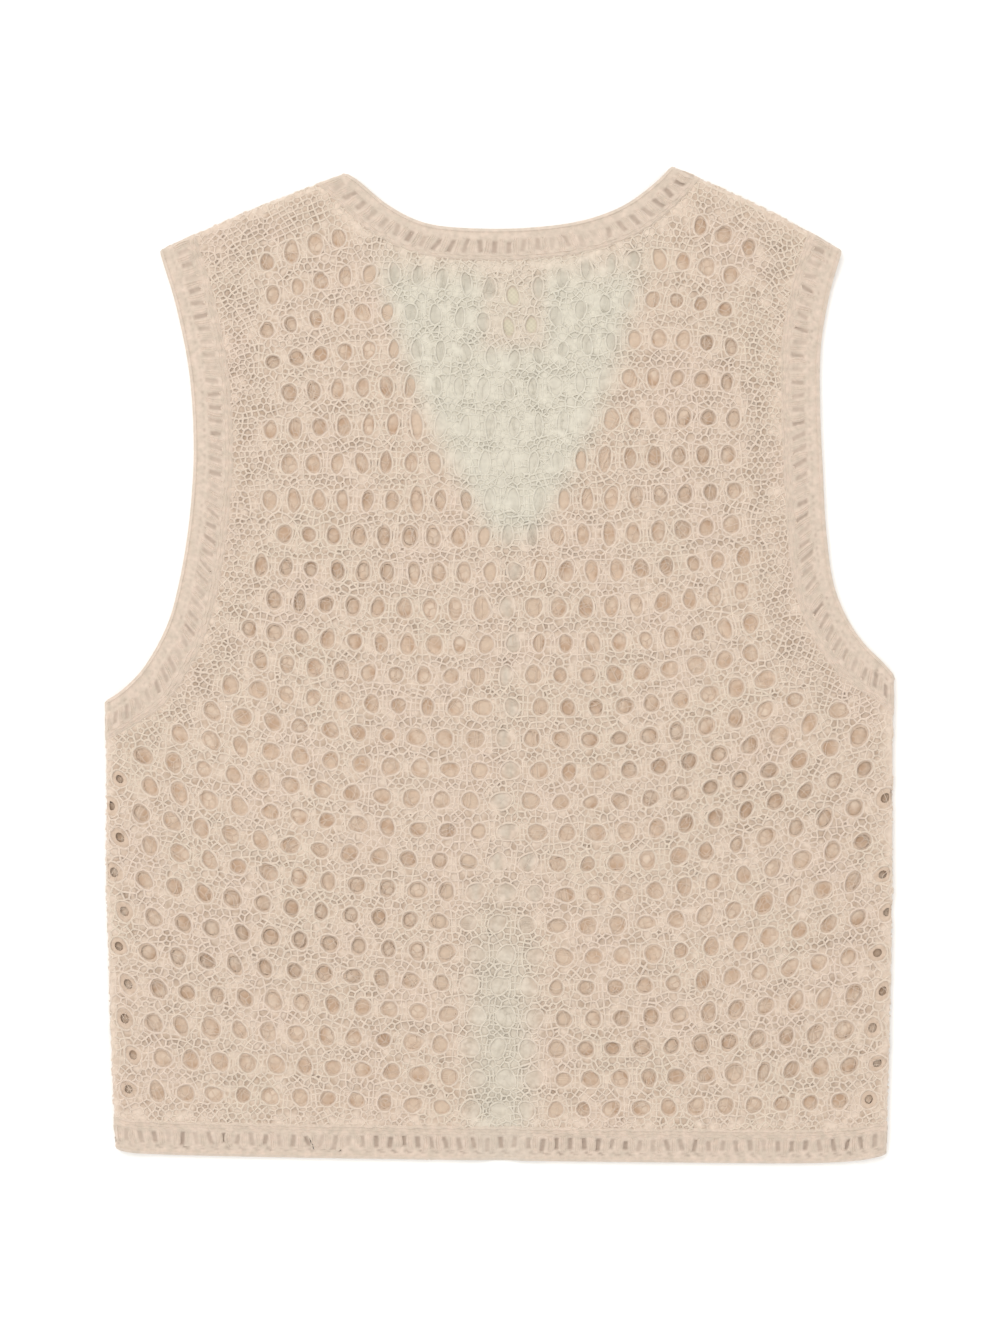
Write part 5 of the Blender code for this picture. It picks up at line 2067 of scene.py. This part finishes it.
# %% Neck label
LABEL_BASE = 0.3 * MM  # over the ground
LABEL_WAVE = 0.12 * MM
LABEL_WAVE_TURNS = (260.0, 90.0)  # radians each metre, along x and y
LABEL_CUTS = 7
LABEL_ROUNDING = 0.15 * MM

bpy.ops.object.select_all(action="DESELECT")
bpy.ops.mesh.primitive_cube_add(size=1.0, location=(*LABEL_CENTRE, LABEL_BASE + LABEL_SIZE[2] / 2))
label = bpy.context.view_layer.objects.active
label.name = label.data.name = "neck_label_tab"
label.scale = LABEL_SIZE
bpy.ops.object.transform_apply(location=True, rotation=True, scale=True)
bpy.ops.object.mode_set(mode="EDIT")
bpy.ops.mesh.select_all(action="SELECT")
bpy.ops.mesh.subdivide(number_cuts=LABEL_CUTS)
bpy.ops.object.mode_set(mode="OBJECT")
for vert in label.data.vertices:
    turn = vert.co.x * LABEL_WAVE_TURNS[0] + vert.co.y * LABEL_WAVE_TURNS[1]
    vert.co.z += LABEL_WAVE * (1 + math.sin(turn))
edge_rounding = label.modifiers.new("soft edges", "BEVEL")
edge_rounding.width = LABEL_ROUNDING
edge_rounding.segments = 2
bpy.ops.object.modifier_apply(modifier=edge_rounding.name)
bpy.ops.object.shade_smooth_by_angle(angle=math.radians(40))
label.data.materials.clear()
label.data.materials.append(LABEL_CLOTH)
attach(label, "root")
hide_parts("neck_label")
print("label, mm:", [round(side / MM, 1) for side in label.dimensions])

# %% [markdown]
# ## The cuts of the cloth
#
# The size and the area of each panel's cut are measured and printed.

# %% Sheets of cloth


def cut_size(outline):
    return float(np.ptp(outline[:, 0])), float(np.ptp(outline[:, 1]))


cut_area(OUTLINES["back"])
for side in SIDES:
    cut_area(OUTLINES[side])
for name, outline in OUTLINES.items():
    size = [round(value, 3) for value in cut_size(outline)]
    print(name, "cut, m:", size, "area:", round(cut_area(outline), 4))

# %% [markdown]
# ## Floor and light
#
# The photo is a cut-out on pure white with almost no shadow. A pale floor under a white
# sky gives that, and one large soft lamp from the upper left lets the relief of the yarn
# read.

# %% Floor and light
FLOOR_SIZE = 6.0
FLOOR_TONE = (0.95, 0.94, 0.915, 1.0)
SKY_STRENGTH = 1.12
LAMP_PLACE = (-0.9, 1.0, 2.1)
LAMP_SIZE = 1.5
LAMP_POWER = 18.0

bpy.ops.mesh.primitive_plane_add(size=FLOOR_SIZE, location=(0.0, 0.0, 0.0))
floor = bpy.context.view_layer.objects.active
floor.name = "floor"
floor_material = bpy.data.materials.new("floor")
floor_material.use_nodes = True
floor_shader = floor_material.node_tree.nodes["Principled BSDF"]
floor_shader.inputs["Base Color"].default_value = FLOOR_TONE
floor_shader.inputs["Roughness"].default_value = 0.9
floor.data.materials.append(floor_material)

world = bpy.data.worlds.new("studio")
world.use_nodes = True
sky = world.node_tree.nodes["Background"]
sky.inputs["Color"].default_value = (1.0, 1.0, 1.0, 1.0)
sky.inputs["Strength"].default_value = SKY_STRENGTH
bpy.context.scene.world = world

lamp = bpy.data.lights.new("key", "AREA")
lamp.shape = "SQUARE"
lamp.size = LAMP_SIZE
lamp.energy = LAMP_POWER
light = bpy.data.objects.new("key", lamp)
light.location = LAMP_PLACE
light.rotation_mode = "QUATERNION"
light.rotation_quaternion = (-Vector(LAMP_PLACE)).to_track_quat("-Z", "Y")
bpy.context.scene.collection.objects.link(light)
print("lamp, W:", lamp.energy)
